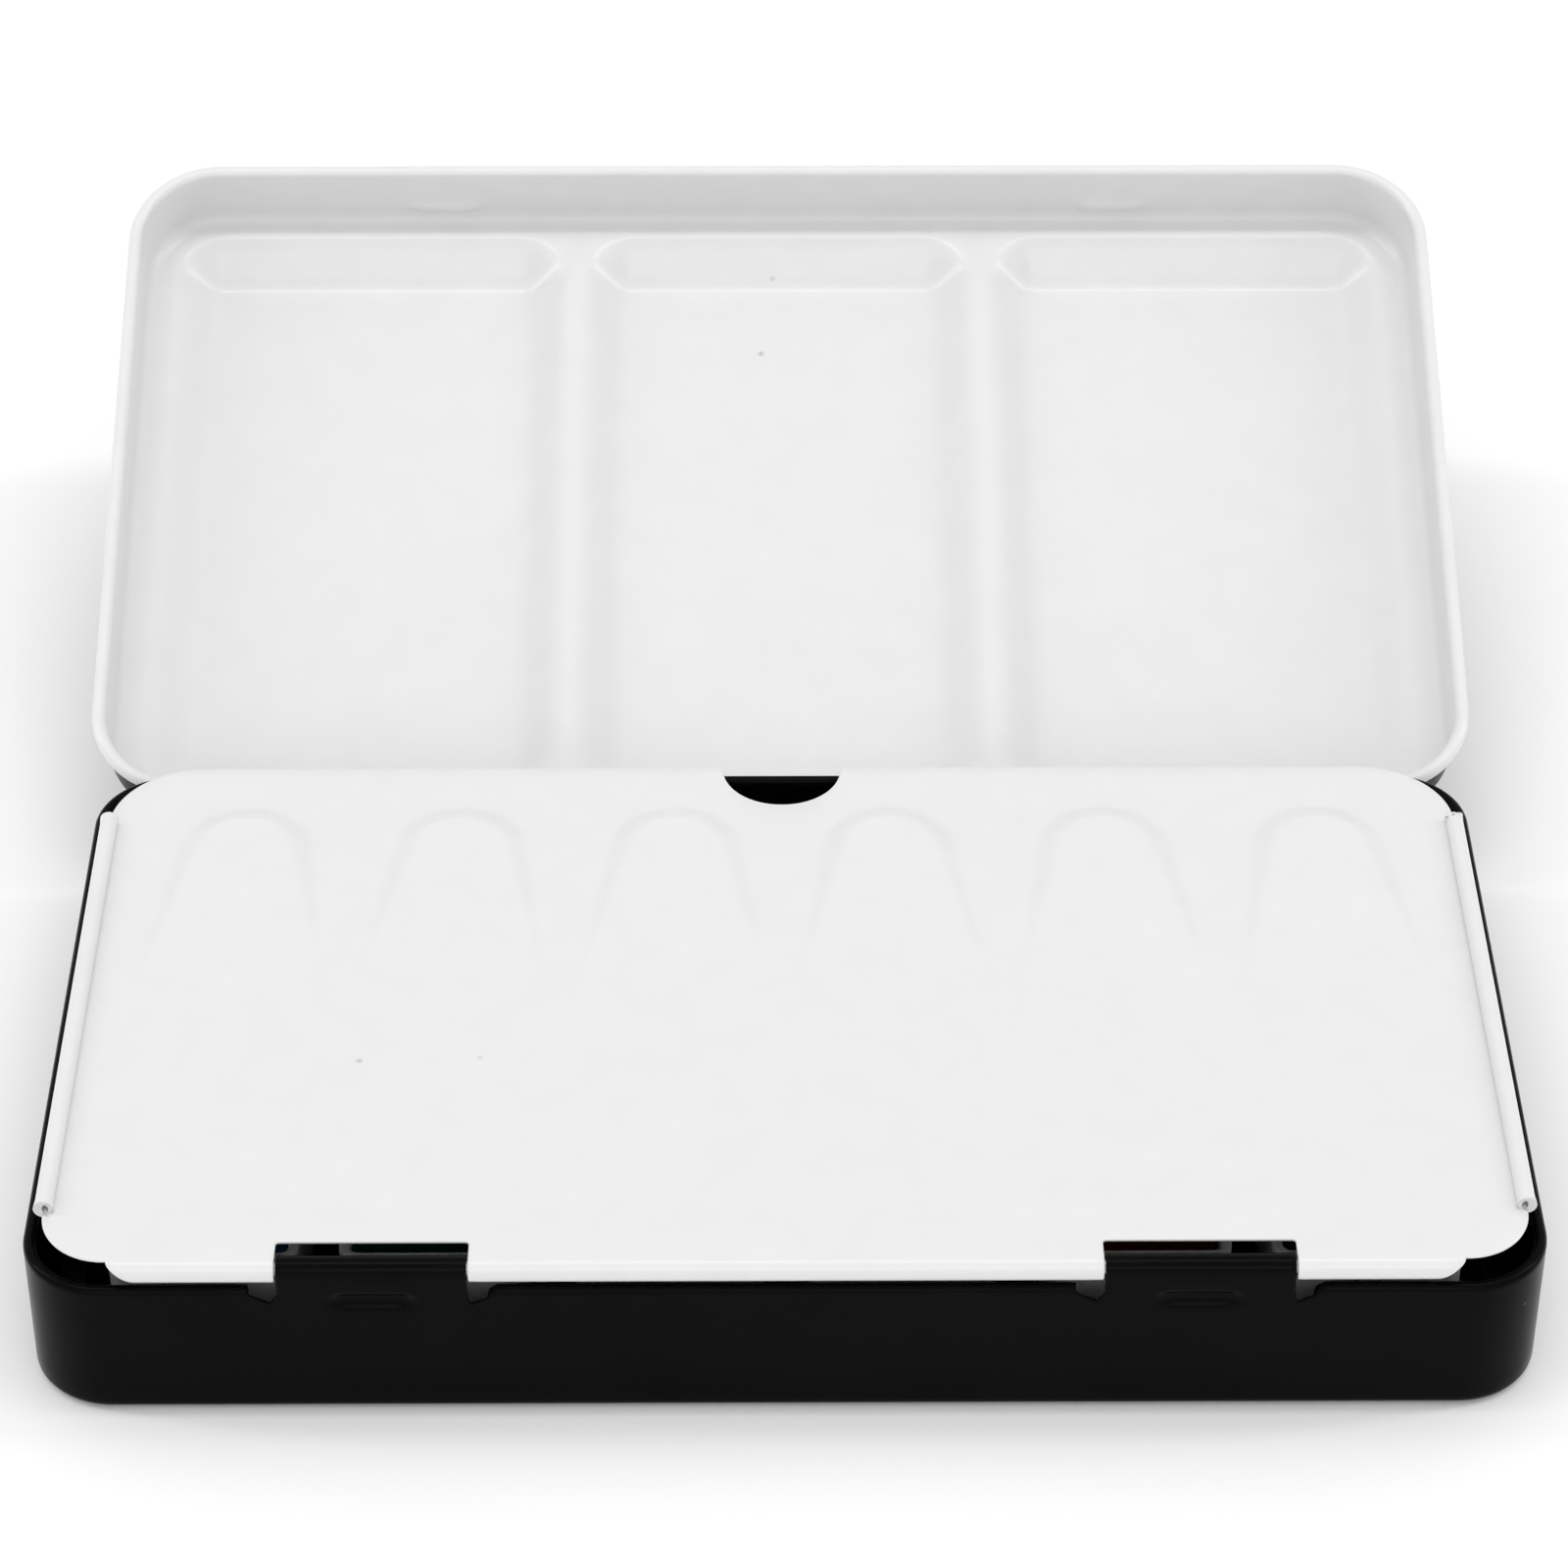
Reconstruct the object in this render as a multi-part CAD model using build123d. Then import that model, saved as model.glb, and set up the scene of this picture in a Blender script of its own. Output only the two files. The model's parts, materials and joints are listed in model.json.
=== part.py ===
from build123d import *
from math import atan2, degrees, radians, tan
import os

# Folding watercolour pan set: a pressed tin with a hinged lid that is a mixing tray, a fold-out
# mixing flap, and a sheet holder that grips twelve half pans of paint.
# Millimetres. Origin: centre of the tin's underside. +X along the tin, +Z up, the front faces -Y.
# The lid stands open against its stop, the flap is folded in and the thumb ring is folded away.

# ---------------------------------------------------------------- driving dimensions
sheet = 0.4                       # tinplate of the base and the lid
thin_sheet = 0.35                 # sheet of the flap and the pan holder

base_length = 126.0
base_width = 69.1
base_height = 13.6
base_corner = 7.0                 # plan radius of the base's corners
bottom_radius = 1.0
base_bead_radius = 0.55           # rim curled inwards

tab_centre_x = 33.8               # front hinge tabs, the catches and the rear hinges share this place
tab_width = 15.3
tab_side_gap = 0.35
front_knuckle_radius = 1.1
front_axis_z = 15.0
relief_radius = 0.85              # round relief in the rim at both sides of a tab
relief_lift = 0.15

wire_radius = 0.65
running_gap = 0.05                # radial room of every turning pair

catch_length = 6.5
catch_height = 2.0
catch_depth = 0.45
base_catch_z = 12.3

flap_half_length = 61.8           # to the outside of the side curls
flap_rear_y = 32.1
flap_rear_corner = 8.0
flap_front_corner = 5.5
flap_curl_radius = 0.82
barrel_half_length = 53.6
tab_window_depth = 2.15           # how far the flap is cut back behind the hinge axis at a tab
notch_radius = 5.5                # finger notch in the flap's free edge

well_count = 6
well_pitch = 19.35
well_front_y = 0.9
well_front_half = 8.4
well_rear_radius = 6.0
well_rear_centre_y = 20.0
well_depth = 1.25
well_side_lean = 64.3             # degrees from upright
well_lead = 2.0                   # the well's outline runs on in front of its shallow end

lid_gap = 0.6                     # room between the base's wall and the lid's wall
lid_rim_z = 10.9                  # lower edge of the shut lid
lid_bead_radius = 0.65            # rim curled outwards
lid_shelf_rise = 7.3              # from the rim to the inside of the shelf
lid_well_rise = 3.0               # from the shelf to the floor of a mixing well
lid_well_run = 3.5                # how far a well's sloping wall leads in
lid_shelf_width = 3.0
lid_divider_x = 20.4
lid_divider_crest = 2.4
lid_well_corner = 4.6
lid_bead_end_x = 61.5             # the lid's rim has no bead on the hinge side within this
lid_catch_rise = 5.5
lid_open_angle = 157.6

rear_axis_y = 35.75
rear_axis_z = 11.3
pin_radius = 0.7
base_knuckle_radius = 1.2
lid_knuckle_radius = 1.05
rear_leaf_width = 16.0
base_knuckle_width = 8.0
knuckle_gap = 0.3
lid_notch_top = 12.8

holder_z = 2.9                    # underside of the pan holder's deck
holder_length = 119.0
holder_width = 63.0
holder_corner = 4.0
tongue_width = 7.0
tongue_height = 5.0
tongue_gap = 0.12
window_depth = 4.6
rest_width = 5.0
rest_x = 57.6
rest_y = 24.0

pans_per_row = 6
pan_pitch = 19.3
pan_row_y = 20.2
pan_size_x = 16.0
pan_size_y = 19.0
pan_height = 9.3
pan_corner = 1.6
pan_wall = 0.9
pan_rest_gap = 0.05
cake_freeboard = 1.3              # paint surface below the pan's edge
cake_edge_radius = 0.6

recess_length = 30.0              # pocket under the tin for the thumb ring
recess_width = 27.0
recess_centre_y = 16.1
recess_depth = 2.1
recess_corner = 8.0
ring_length = 24.0
ring_width = 21.0
ring_corner = 8.5
ring_wire_radius = 0.7
ring_axis_y = 7.4
ring_axis_z = 1.25
strap_width = 5.0
strap_foot = 3.4
strap_sheet = 0.3
rivet_radius = 0.6
rivet_head_radius = 1.1
rivet_head_height = 0.35
rivet_reach = 3.2                 # from the ring's axis to a rivet

# ---------------------------------------------------------------- places that follow from them
base_front_y = -base_width / 2
base_rear_y = base_width / 2
front_axis_y = base_front_y + front_knuckle_radius
flap_top_z = front_axis_z + front_knuckle_radius
flap_under_z = flap_top_z - thin_sheet
lid_inner_length = base_length + 2 * lid_gap
lid_inner_width = base_width + 2 * lid_gap
lid_inner_corner = base_corner + lid_gap
lid_shelf_z = lid_rim_z + lid_shelf_rise
holder_top_z = holder_z + thin_sheet
pan_bottom_z = holder_top_z + pan_rest_gap
lid_axis = Axis((0, rear_axis_y, rear_axis_z), (1, 0, 0))


# ---------------------------------------------------------------- helpers
def slab(length, width, corner, low, high):
    """An upright block with round corners between two heights."""
    return Pos(0, 0, low) * extrude(RectangleRounded(length, width, corner), high - low)


def box_between(low, high):
    """A plain block between two corners."""
    size = [b - a for a, b in zip(low, high)]
    middle = [(a + b) / 2 for a, b in zip(low, high)]
    return Pos(*middle) * Box(*size)


def rod(radius, x_low, x_high, y, z):
    """A round bar along X."""
    return Pos((x_low + x_high) / 2, y, z) * Rot(Y=90) * Cylinder(radius, x_high - x_low)


def knuckle(outer, inner, x_low, x_high, y, z):
    """A rolled hinge knuckle along X."""
    return rod(outer, x_low, x_high, y, z) - rod(inner, x_low - 1, x_high + 1, y, z)


def ring_bead(length, width, corner, radius, z):
    """A bead that follows a rectangle with round corners."""
    path = Pos(0, 0, z) * RectangleRounded(length, width, corner).wire()
    section = Plane(origin=path @ 0, z_dir=path % 0) * Circle(radius)
    return sweep(section, path)


def frustum(length, width, corner, run, low, high):
    """A block with round corners whose sides lean in by run."""
    foot = Pos(0, 0, low) * RectangleRounded(length, width, corner)
    head = Pos(0, 0, high) * RectangleRounded(length - 2 * run, width - 2 * run, corner - run)
    return loft([foot, head], ruled=True)


def catch_form(x, y, z, length, height, depth):
    """A long rounded pimple, as deep as depth on both sides of y."""
    half = length / 2 - height / 2
    bar = Pos(x, y, z) * Rot(Y=90) * Cylinder(height / 2, 2 * half)
    ends = [Pos(x + side * half, y, z) * Sphere(height / 2) for side in (-1, 1)]
    form = bar + ends
    room = box_between((x - length, y - depth, z - height), (x + length, y + depth, z + height))
    return form & room


# ---------------------------------------------------------------- base
def base_shell():
    outer = slab(base_length, base_width, base_corner, 0, base_height - base_bead_radius)
    outer = fillet(outer.edges().group_by(Axis.Z)[0], bottom_radius)
    inner = slab(base_length - 2 * sheet, base_width - 2 * sheet, base_corner - sheet, sheet, base_height)
    inner = fillet(inner.edges().group_by(Axis.Z)[0], bottom_radius - sheet)
    return outer - inner


def base_rim():
    inset = 2 * base_bead_radius
    bead_z = base_height - base_bead_radius
    return ring_bead(
        base_length - inset, base_width - inset, base_corner - base_bead_radius, base_bead_radius, bead_z
    )


def ring_pocket():
    outer = slab(
        recess_length + 2 * sheet, recess_width + 2 * sheet, recess_corner + sheet, 0, recess_depth + sheet
    )
    inner = slab(recess_length, recess_width, recess_corner, -1, recess_depth)
    place = Pos(0, recess_centre_y, 0)
    return place * outer, place * inner


def rivet_places():
    return [ring_axis_y - rivet_reach, ring_axis_y + rivet_reach]


def front_tab(x):
    left, right = x - tab_width / 2, x + tab_width / 2
    low = base_height - 2 * base_bead_radius
    wall = box_between((left, base_front_y, low), (right, base_front_y + sheet, front_axis_z))
    curl = knuckle(front_knuckle_radius, wire_radius, left, right, front_axis_y, front_axis_z)
    return wall + curl


def tab_clearance(x):
    """The rim has no bead behind a tab, and ends in a round relief at both sides of it."""
    reach = tab_width / 2 + relief_radius
    low = base_height - 2 * base_bead_radius - relief_lift
    behind = box_between(
        (x - reach, base_front_y + sheet, low),
        (x + reach, base_front_y + 3 * base_bead_radius, base_height + 1),
    )
    reliefs = [
        Pos(x + side * (tab_width / 2 + relief_radius), base_front_y, base_height - relief_lift)
        * Rot(X=90)
        * Cylinder(relief_radius, 4 * base_bead_radius)
        for side in (-1, 1)
    ]
    return behind + reliefs


def base_catch(x):
    """A dent pressed inwards in the front wall: the metal to add and the hollow to take away."""
    deep = catch_depth + sheet
    lump = catch_form(x, base_front_y, base_catch_z, catch_length + sheet, catch_height + sheet, deep)
    inside = box_between(
        (x - catch_length, base_front_y, base_catch_z - catch_height),
        (x + catch_length, base_front_y + deep, base_catch_z + catch_height),
    )
    hollow = catch_form(x, base_front_y, base_catch_z, catch_length, catch_height, catch_depth)
    return lump & inside, hollow


def base_tray():
    pocket_metal, pocket_room = ring_pocket()
    tray = base_shell() + base_rim() + pocket_metal - pocket_room
    for side in (-1, 1):
        x = side * tab_centre_x
        lump, hollow = base_catch(x)
        tray = tray - tab_clearance(x) + front_tab(x) + lump - hollow
    for y in rivet_places():
        tray -= Pos(0, y, recess_depth) * Cylinder(rivet_radius, 4 * sheet)
    return tray


def flap_wire():
    return rod(wire_radius, -barrel_half_length, barrel_half_length, front_axis_y, front_axis_z)


# ---------------------------------------------------------------- mixing flap
def flap_plate():
    front = front_axis_y
    half = flap_half_length - flap_curl_radius
    outline = Pos(0, (front + flap_rear_y) / 2) * Rectangle(2 * half, flap_rear_y - front)
    corners = outline.vertices().group_by(Axis.Y)
    outline = fillet(corners[-1], flap_rear_corner)
    outline = fillet(outline.vertices().group_by(Axis.Y)[0], flap_front_corner)
    return Pos(0, 0, flap_under_z) * extrude(outline, thin_sheet)


def well_outline(inset):
    """Outline of a flap well on its own centre line: a straight shallow end and a round deep end."""
    lean = (well_front_half - well_rear_radius) / (well_rear_centre_y - well_front_y)
    front_y = well_front_y - well_lead + inset
    front_half = well_front_half + lean * well_lead - inset
    radius = well_rear_radius - inset
    left, right = (-front_half, front_y), (front_half, front_y)
    rear_left, rear_right = (-radius, well_rear_centre_y), (radius, well_rear_centre_y)
    top = (0, well_rear_centre_y + radius)
    edges = [
        Line(left, right),
        Line(right, rear_right),
        ThreePointArc(rear_right, top, rear_left),
        Line(rear_left, left),
    ]
    return make_face(Wire(edges))


def well_form():
    """The sloping well as it stands on the flap, from the sheet's underside up."""
    rise = well_depth + thin_sheet + 0.5
    inset = rise * tan(radians(well_side_lean))
    foot = Pos(0, 0, flap_under_z) * well_outline(0)
    head = Pos(0, 0, flap_under_z + rise) * well_outline(inset)
    reach = well_rear_centre_y + well_rear_radius - well_front_y
    slope = degrees(atan2(well_depth, reach))
    deep = 12.0
    under_slope = Pos(0, well_front_y, flap_top_z) * Rot(X=slope) * Pos(0, 0, -deep / 2) * Box(30, 80, deep)
    return loft([foot, head], ruled=True) & under_slope


def side_curl(side):
    x = side * (flap_half_length - flap_curl_radius)
    low = front_axis_y + flap_front_corner
    high = flap_rear_y - flap_rear_corner
    place = Pos(x, (low + high) / 2, flap_under_z + flap_curl_radius) * Rot(X=90)
    outer = Cylinder(flap_curl_radius, high - low)
    inner = Cylinder(flap_curl_radius - thin_sheet, high - low + 2)
    return place * (outer - inner)


def tab_windows():
    """The room that the flap leaves round the two tabs of the base."""
    half = tab_width / 2 + tab_side_gap
    return [
        box_between(
            (side * tab_centre_x - half, front_axis_y - 3, front_axis_z - 3),
            (side * tab_centre_x + half, front_axis_y + tab_window_depth, front_axis_z + 3),
        )
        for side in (-1, 1)
    ]


def flap_barrel():
    """The rolled front edge of the flap, in three lengths between and beside the tabs."""
    bore = wire_radius + running_gap
    barrel = knuckle(
        front_knuckle_radius, bore, -barrel_half_length, barrel_half_length, front_axis_y, front_axis_z
    )
    return barrel - flap_plate() - tab_windows()


def mixing_flap():
    flap = flap_plate() + [side_curl(side) for side in (-1, 1)]
    well = well_form()
    for n in range(well_count):
        x = (n - (well_count - 1) / 2) * well_pitch
        flap += Pos(x, 0, 0) * well
        flap -= Pos(x, 0, -thin_sheet) * well
    flap -= tab_windows()
    return flap - Pos(0, flap_rear_y, flap_under_z) * Cylinder(notch_radius, 4 * thin_sheet)


# ---------------------------------------------------------------- lid, made shut and then swung open
def lid_hollow(drop, grow, low):
    """The space inside the lid, or with grow the body around it: a box and three sloping wells."""
    shelf = lid_shelf_z + drop
    body = slab(
        lid_inner_length + 2 * grow, lid_inner_width + 2 * grow, lid_inner_corner + grow, low, shelf
    )
    middle_width = 2 * lid_divider_x - lid_divider_crest
    side_low = lid_divider_x + lid_divider_crest / 2
    side_high = lid_inner_length / 2 - lid_shelf_width
    depth = lid_inner_width - 2 * lid_shelf_width
    side_centre = (side_low + side_high) / 2
    side_width = side_high - side_low
    for x, width in ((-side_centre, side_width), (0, middle_width), (side_centre, side_width)):
        well = frustum(width, depth, lid_well_corner, lid_well_run, shelf, shelf + lid_well_rise)
        body += Pos(x, 0, 0) * well
    return body


def lid_bead():
    reach = 2 * lid_bead_radius
    z = lid_rim_z + lid_bead_radius
    bead = ring_bead(
        lid_inner_length + reach,
        lid_inner_width + reach,
        lid_inner_corner + lid_bead_radius,
        lid_bead_radius,
        z,
    )
    rear = box_between(
        (-lid_bead_end_x, lid_inner_width / 2 - 1, lid_rim_z - 1),
        (lid_bead_end_x, lid_inner_width / 2 + 2 * reach, z + reach),
    )
    return bead - rear


def lid_catch(x):
    y = -lid_inner_width / 2 - sheet
    z = lid_rim_z + lid_catch_rise
    deep = catch_depth + sheet
    lump = catch_form(x, y, z, catch_length, catch_height - 0.4, deep)
    inside = box_between(
        (x - catch_length, y, z - catch_height),
        (x + catch_length, y + deep, z + catch_height),
    )
    hollow = catch_form(x, y, z, catch_length - sheet, catch_height - 2 * sheet, catch_depth)
    return lump & inside, hollow


def lid_shut():
    lid = lid_hollow(sheet, sheet, lid_rim_z + lid_bead_radius) + lid_bead()
    rear_edge = box_between(
        (-lid_bead_end_x, lid_inner_width / 2, lid_rim_z),
        (lid_bead_end_x, lid_inner_width / 2 + sheet, lid_rim_z + 2 * lid_bead_radius),
    )
    lid = lid + rear_edge - lid_hollow(0, 0, lid_rim_z - 1)
    for side in (-1, 1):
        x = side * tab_centre_x
        lump, hollow = lid_catch(x)
        lid = lid + lump - hollow
        half = rear_leaf_width / 2 + 2 * knuckle_gap
        lid -= box_between(
            (x - half, lid_inner_width / 2 - 1, lid_rim_z - 1),
            (x + half, lid_inner_width / 2 + 2, lid_notch_top),
        )
    return lid


def swing_open(piece):
    return piece.rotate(lid_axis, -lid_open_angle)


# ---------------------------------------------------------------- lid hinges at the rear
def base_hinge_leaf(x):
    half = rear_leaf_width / 2
    leaf_low = rear_axis_z - 6.3
    neck_low = rear_axis_z - base_knuckle_radius - knuckle_gap
    leaf = box_between((x - half, base_rear_y, leaf_low), (x + half, base_rear_y + sheet, neck_low))
    width = base_knuckle_width / 2
    neck = box_between((x - width, base_rear_y, neck_low), (x + width, base_rear_y + sheet, rear_axis_z))
    curl = knuckle(base_knuckle_radius, pin_radius, x - width, x + width, rear_axis_y, rear_axis_z)
    return leaf + neck + curl


def lid_hinge_leaf(x):
    half = rear_leaf_width / 2
    wall_y = lid_inner_width / 2 + sheet
    leaf = box_between((x - half, wall_y, lid_notch_top), (x + half, wall_y + sheet, rear_axis_z + 6.3))
    inner = base_knuckle_width / 2 + knuckle_gap
    for side in (-1, 1):
        low, high = sorted((x + side * inner, x + side * half))
        leaf += knuckle(lid_knuckle_radius, pin_radius + running_gap, low, high, rear_axis_y, rear_axis_z)
        leaf += box_between(
            (low, wall_y, rear_axis_z + lid_knuckle_radius - 0.2), (high, wall_y + sheet, lid_notch_top)
        )
    return leaf


def lid_hinge_pin(x):
    half = rear_leaf_width / 2
    return rod(pin_radius, x - half, x + half, rear_axis_y, rear_axis_z)


def pair(maker):
    return Compound(children=[maker(side * tab_centre_x) for side in (-1, 1)])


# ---------------------------------------------------------------- pan holder and pans
def pan_places():
    for row in (-1, 1):
        for n in range(pans_per_row):
            yield (n - (pans_per_row - 1) / 2) * pan_pitch, row * pan_row_y


def tongue(x, y, side):
    """A spring tongue at one end of a pan, bent up out of a window that lies under the pan."""
    face = y + side * (pan_size_y / 2 + tongue_gap)
    low, high = sorted((face, face + side * thin_sheet))
    top = holder_top_z + tongue_height
    return box_between((x - tongue_width / 2, low, holder_z), (x + tongue_width / 2, high, top))


def tongue_window(x, y, side):
    face = y + side * (pan_size_y / 2 + tongue_gap)
    low, high = sorted((face, face - side * window_depth))
    reach = tongue_width / 2 + 0.3
    return box_between((x - reach, low, holder_z - 1), (x + reach, high, holder_top_z + 1))


def flap_rest(x, y):
    """An upright lug on the holder's deck that the folded-in flap lies on."""
    top = flap_under_z - pan_rest_gap
    half = rest_width / 2
    return box_between((x - thin_sheet / 2, y - half, holder_top_z), (x + thin_sheet / 2, y + half, top))


def flap_rests():
    return Compound(children=[flap_rest(a * rest_x, b * rest_y) for a in (-1, 1) for b in (-1, 1)])


def pan_holder():
    deck = slab(holder_length, holder_width, holder_corner, holder_z, holder_top_z)
    skirt = slab(holder_length, holder_width, holder_corner, sheet, holder_z)
    skirt -= slab(
        holder_length - 2 * thin_sheet,
        holder_width - 2 * thin_sheet,
        holder_corner - thin_sheet,
        0,
        holder_z,
    )
    holder = deck + skirt
    for x, y in pan_places():
        for side in (-1, 1):
            holder = holder - tongue_window(x, y, side) + tongue(x, y, side)
    return holder


def pan_cup():
    top = pan_bottom_z + pan_height
    cup = slab(pan_size_x, pan_size_y, pan_corner, pan_bottom_z, top)
    room = slab(
        pan_size_x - 2 * pan_wall,
        pan_size_y - 2 * pan_wall,
        pan_corner - pan_wall,
        pan_bottom_z + pan_wall,
        top + 1,
    )
    cup = fillet(cup.edges().group_by(Axis.Z)[0], 0.5)
    return cup - room


def paint_cake():
    top = pan_bottom_z + pan_height - cake_freeboard
    cake = slab(
        pan_size_x - 2 * pan_wall,
        pan_size_y - 2 * pan_wall,
        pan_corner - pan_wall,
        pan_bottom_z + pan_wall,
        top,
    )
    return fillet(cake.edges().group_by(Axis.Z)[-1], cake_edge_radius)


# ---------------------------------------------------------------- thumb ring under the tin
def thumb_ring():
    middle_y = ring_axis_y + ring_width / 2
    path = Pos(0, middle_y, ring_axis_z) * RectangleRounded(ring_length, ring_width, ring_corner).wire()
    section = Plane(origin=path @ 0, z_dir=path % 0) * Circle(ring_wire_radius)
    return sweep(section, path)


def ring_strap():
    """A saddle that holds the ring's straight side, with a foot in front and one behind."""
    bore = ring_wire_radius + running_gap
    outer = bore + strap_sheet
    half = strap_width / 2
    foot_reach = outer + strap_foot
    strap = rod(outer, -half, half, ring_axis_y, ring_axis_z)
    strap += box_between(
        (-half, ring_axis_y - outer, ring_axis_z), (half, ring_axis_y + outer, recess_depth)
    )
    strap += box_between(
        (-half, ring_axis_y - foot_reach, recess_depth - strap_sheet),
        (half, ring_axis_y + foot_reach, recess_depth),
    )
    strap -= rod(bore, -half - 1, half + 1, ring_axis_y, ring_axis_z)
    strap -= box_between(
        (-half - 1, ring_axis_y - foot_reach, recess_depth),
        (half + 1, ring_axis_y + foot_reach, 2 * recess_depth),
    )
    for y in rivet_places():
        strap -= Pos(0, y, recess_depth) * Cylinder(rivet_radius, 4 * sheet)
    return strap


def rivet(y):
    low = recess_depth - strap_sheet
    high = recess_depth + sheet
    shank = Pos(0, y, (low + high) / 2) * Cylinder(rivet_radius, high - low)
    heads = [
        Pos(0, y, low - rivet_head_height / 2) * Cylinder(rivet_head_radius, rivet_head_height),
        Pos(0, y, high + rivet_head_height / 2) * Cylinder(rivet_head_radius, rivet_head_height),
    ]
    return shank + heads


# ---------------------------------------------------------------- write one file for each node
def write(name, shape):
    export_step(shape, f"parts/{name}.step")


os.makedirs("parts", exist_ok=True)
write("base_tray", base_tray())
write("flap_hinge_wire", flap_wire())
write("mixing_flap", mixing_flap())
write("flap_barrel", flap_barrel())
write("lid", swing_open(lid_shut()))
write("base_hinge_leaves", pair(base_hinge_leaf))
write("lid_hinge_leaves", swing_open(pair(lid_hinge_leaf)))
write("lid_hinge_pins", pair(lid_hinge_pin))
write("pan_holder", pan_holder())
write("flap_rests", flap_rests())
write("thumb_ring", thumb_ring())
write("ring_strap", ring_strap())
write("strap_rivets", Compound(children=[rivet(y) for y in rivet_places()]))
cup, cake = pan_cup(), paint_cake()
for number, (x, y) in enumerate(pan_places(), start=1):
    write(f"half_pan_{number:02d}", Pos(x, y, 0) * cup)
    write(f"paint_cake_{number:02d}", Pos(x, y, 0) * cake)
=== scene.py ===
from math import asin, atan2, cos, exp, pi, radians, sin, sqrt, tan
import json

import bmesh
import bpy
from mathutils import Matrix, Vector
from mathutils.geometry import delaunay_2d_cdt
from mathutils.noise import noise as turbulence


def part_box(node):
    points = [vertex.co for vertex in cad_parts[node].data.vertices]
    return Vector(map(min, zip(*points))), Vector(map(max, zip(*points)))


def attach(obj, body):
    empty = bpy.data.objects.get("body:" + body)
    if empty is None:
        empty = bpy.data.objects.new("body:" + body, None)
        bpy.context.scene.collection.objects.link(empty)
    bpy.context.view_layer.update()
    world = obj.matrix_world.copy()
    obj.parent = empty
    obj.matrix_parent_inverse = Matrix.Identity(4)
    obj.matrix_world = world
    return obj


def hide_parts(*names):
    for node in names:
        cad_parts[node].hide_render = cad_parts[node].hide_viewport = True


# Folding watercolour pan set: pressed enamelled tin, mixing lid, fold-out mixing flap, pan holder,
# twelve half pans. Sizes are in metres unless a name ends in _mm. Places come from the frame.

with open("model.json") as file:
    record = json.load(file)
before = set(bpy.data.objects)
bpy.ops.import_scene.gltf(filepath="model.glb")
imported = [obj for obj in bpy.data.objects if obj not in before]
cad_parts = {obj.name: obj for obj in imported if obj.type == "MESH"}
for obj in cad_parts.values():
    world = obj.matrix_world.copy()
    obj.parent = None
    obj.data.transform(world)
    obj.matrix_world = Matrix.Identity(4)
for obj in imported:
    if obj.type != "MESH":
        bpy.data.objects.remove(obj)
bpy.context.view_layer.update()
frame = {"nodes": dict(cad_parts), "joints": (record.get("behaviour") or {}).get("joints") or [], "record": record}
MM = 0.001

# ---------------------------------------------------------------- sizes read from the frame
joints = {joint["name"]: joint for joint in frame["joints"]}
flap_axis = Vector(joints["flap_hinge"]["pos_m"])
lid_axis = Vector(joints["lid_hinge"]["pos_m"])
open_angle = -radians(joints["lid_hinge"]["range_deg"][0])
tin_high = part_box("base_tray")[1]
flap_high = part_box("mixing_flap")[1]
holder_low, holder_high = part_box("pan_holder")
half_length = tin_high.x
half_width = tin_high.y
touch = 0.01 * MM                 # points nearer than this are in one place

# ---------------------------------------------------------------- sizes of the pressed sheet
tin_sheet = 0.3 * MM
tin_corner = 7.0 * MM
tin_height = 13.6 * MM
tin_foot_radius = 1.1 * MM
tin_curl = 0.55 * MM
tin_curl_turn = radians(290)
tin_wall_steps_mm = (2.4, 4, 6, 8, 10, 10.8, 11.2, 11.4, 11.6, 11.8)
tab_x = 33.8 * MM
tab_width = 15.3 * MM
knuckle_radius = 1.1 * MM
knuckle_turn = radians(325)
relief_width = 2.6 * MM
relief_depth = 1.2 * MM
relief_round = 0.45 * MM
catch_half = 3.3 * MM
catch_half_height = 0.95 * MM
catch_depth = 0.42 * MM
tin_catch_z = 12.3 * MM

flap_sheet = 0.3 * MM
flap_curl = 0.82 * MM
flap_rear_corner = 8.0 * MM
flap_front_corner = 5.5 * MM
barrel_end = 55.3 * MM
barrel_turn = radians(315)
barrel_taper_run = 5 * MM
barrel_taper_depth = 2.4 * MM
window_half = tab_width / 2 + 0.35 * MM
window_depth = 2.15 * MM
notch_radius = 5.5 * MM
notch_lip = 0.5 * MM

well_pitch = 19.35 * MM
well_count = 6
well_front_y = 0.9 * MM
well_front_half = 8.4 * MM
well_front_corner = 0.5 * MM
well_rear_radius = 6.0 * MM
well_rear_y = 20.0 * MM
well_depth = 1.25 * MM
well_slope_run = 2.6 * MM

lid_gap = 0.6 * MM
lid_rim_z = 10.9 * MM
lid_curl = 0.65 * MM
lid_curl_turn = radians(305)
lid_fillet = 1.2 * MM
lid_shelf_rise = 7.3 * MM
lid_well_rise = 3.0 * MM
lid_well_run = 3.5 * MM
lid_shelf = 3.0 * MM
lid_divider_x = 20.4 * MM
lid_divider_crest = 2.4 * MM
lid_well_corner = 4.6 * MM
lid_bead_start = 55.5 * MM        # the hinge side has no bead between here and its mirror place
lid_notch_half = 8.6 * MM
lid_notch_top = 12.8 * MM
lid_catch_rise = 5.5 * MM
lid_catch_x = tab_x
lid_catch_lift = 0.25 * MM
lid_sheet = 0.3 * MM

flap_top = flap_axis.z + knuckle_radius
flap_half = flap_high.x
flap_rear = flap_high.y
curl_front = -27.95 * MM
curl_rear = 24.1 * MM
side_curl_inset = 0.05 * MM
side_curl = flap_curl - flap_sheet - side_curl_inset
side_curl_turn = radians(320)

pocket_length = 30.0 * MM
pocket_width = 27.0 * MM
pocket_y = 16.1 * MM
pocket_depth = 2.1 * MM
pocket_corner = 8.0 * MM

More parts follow.
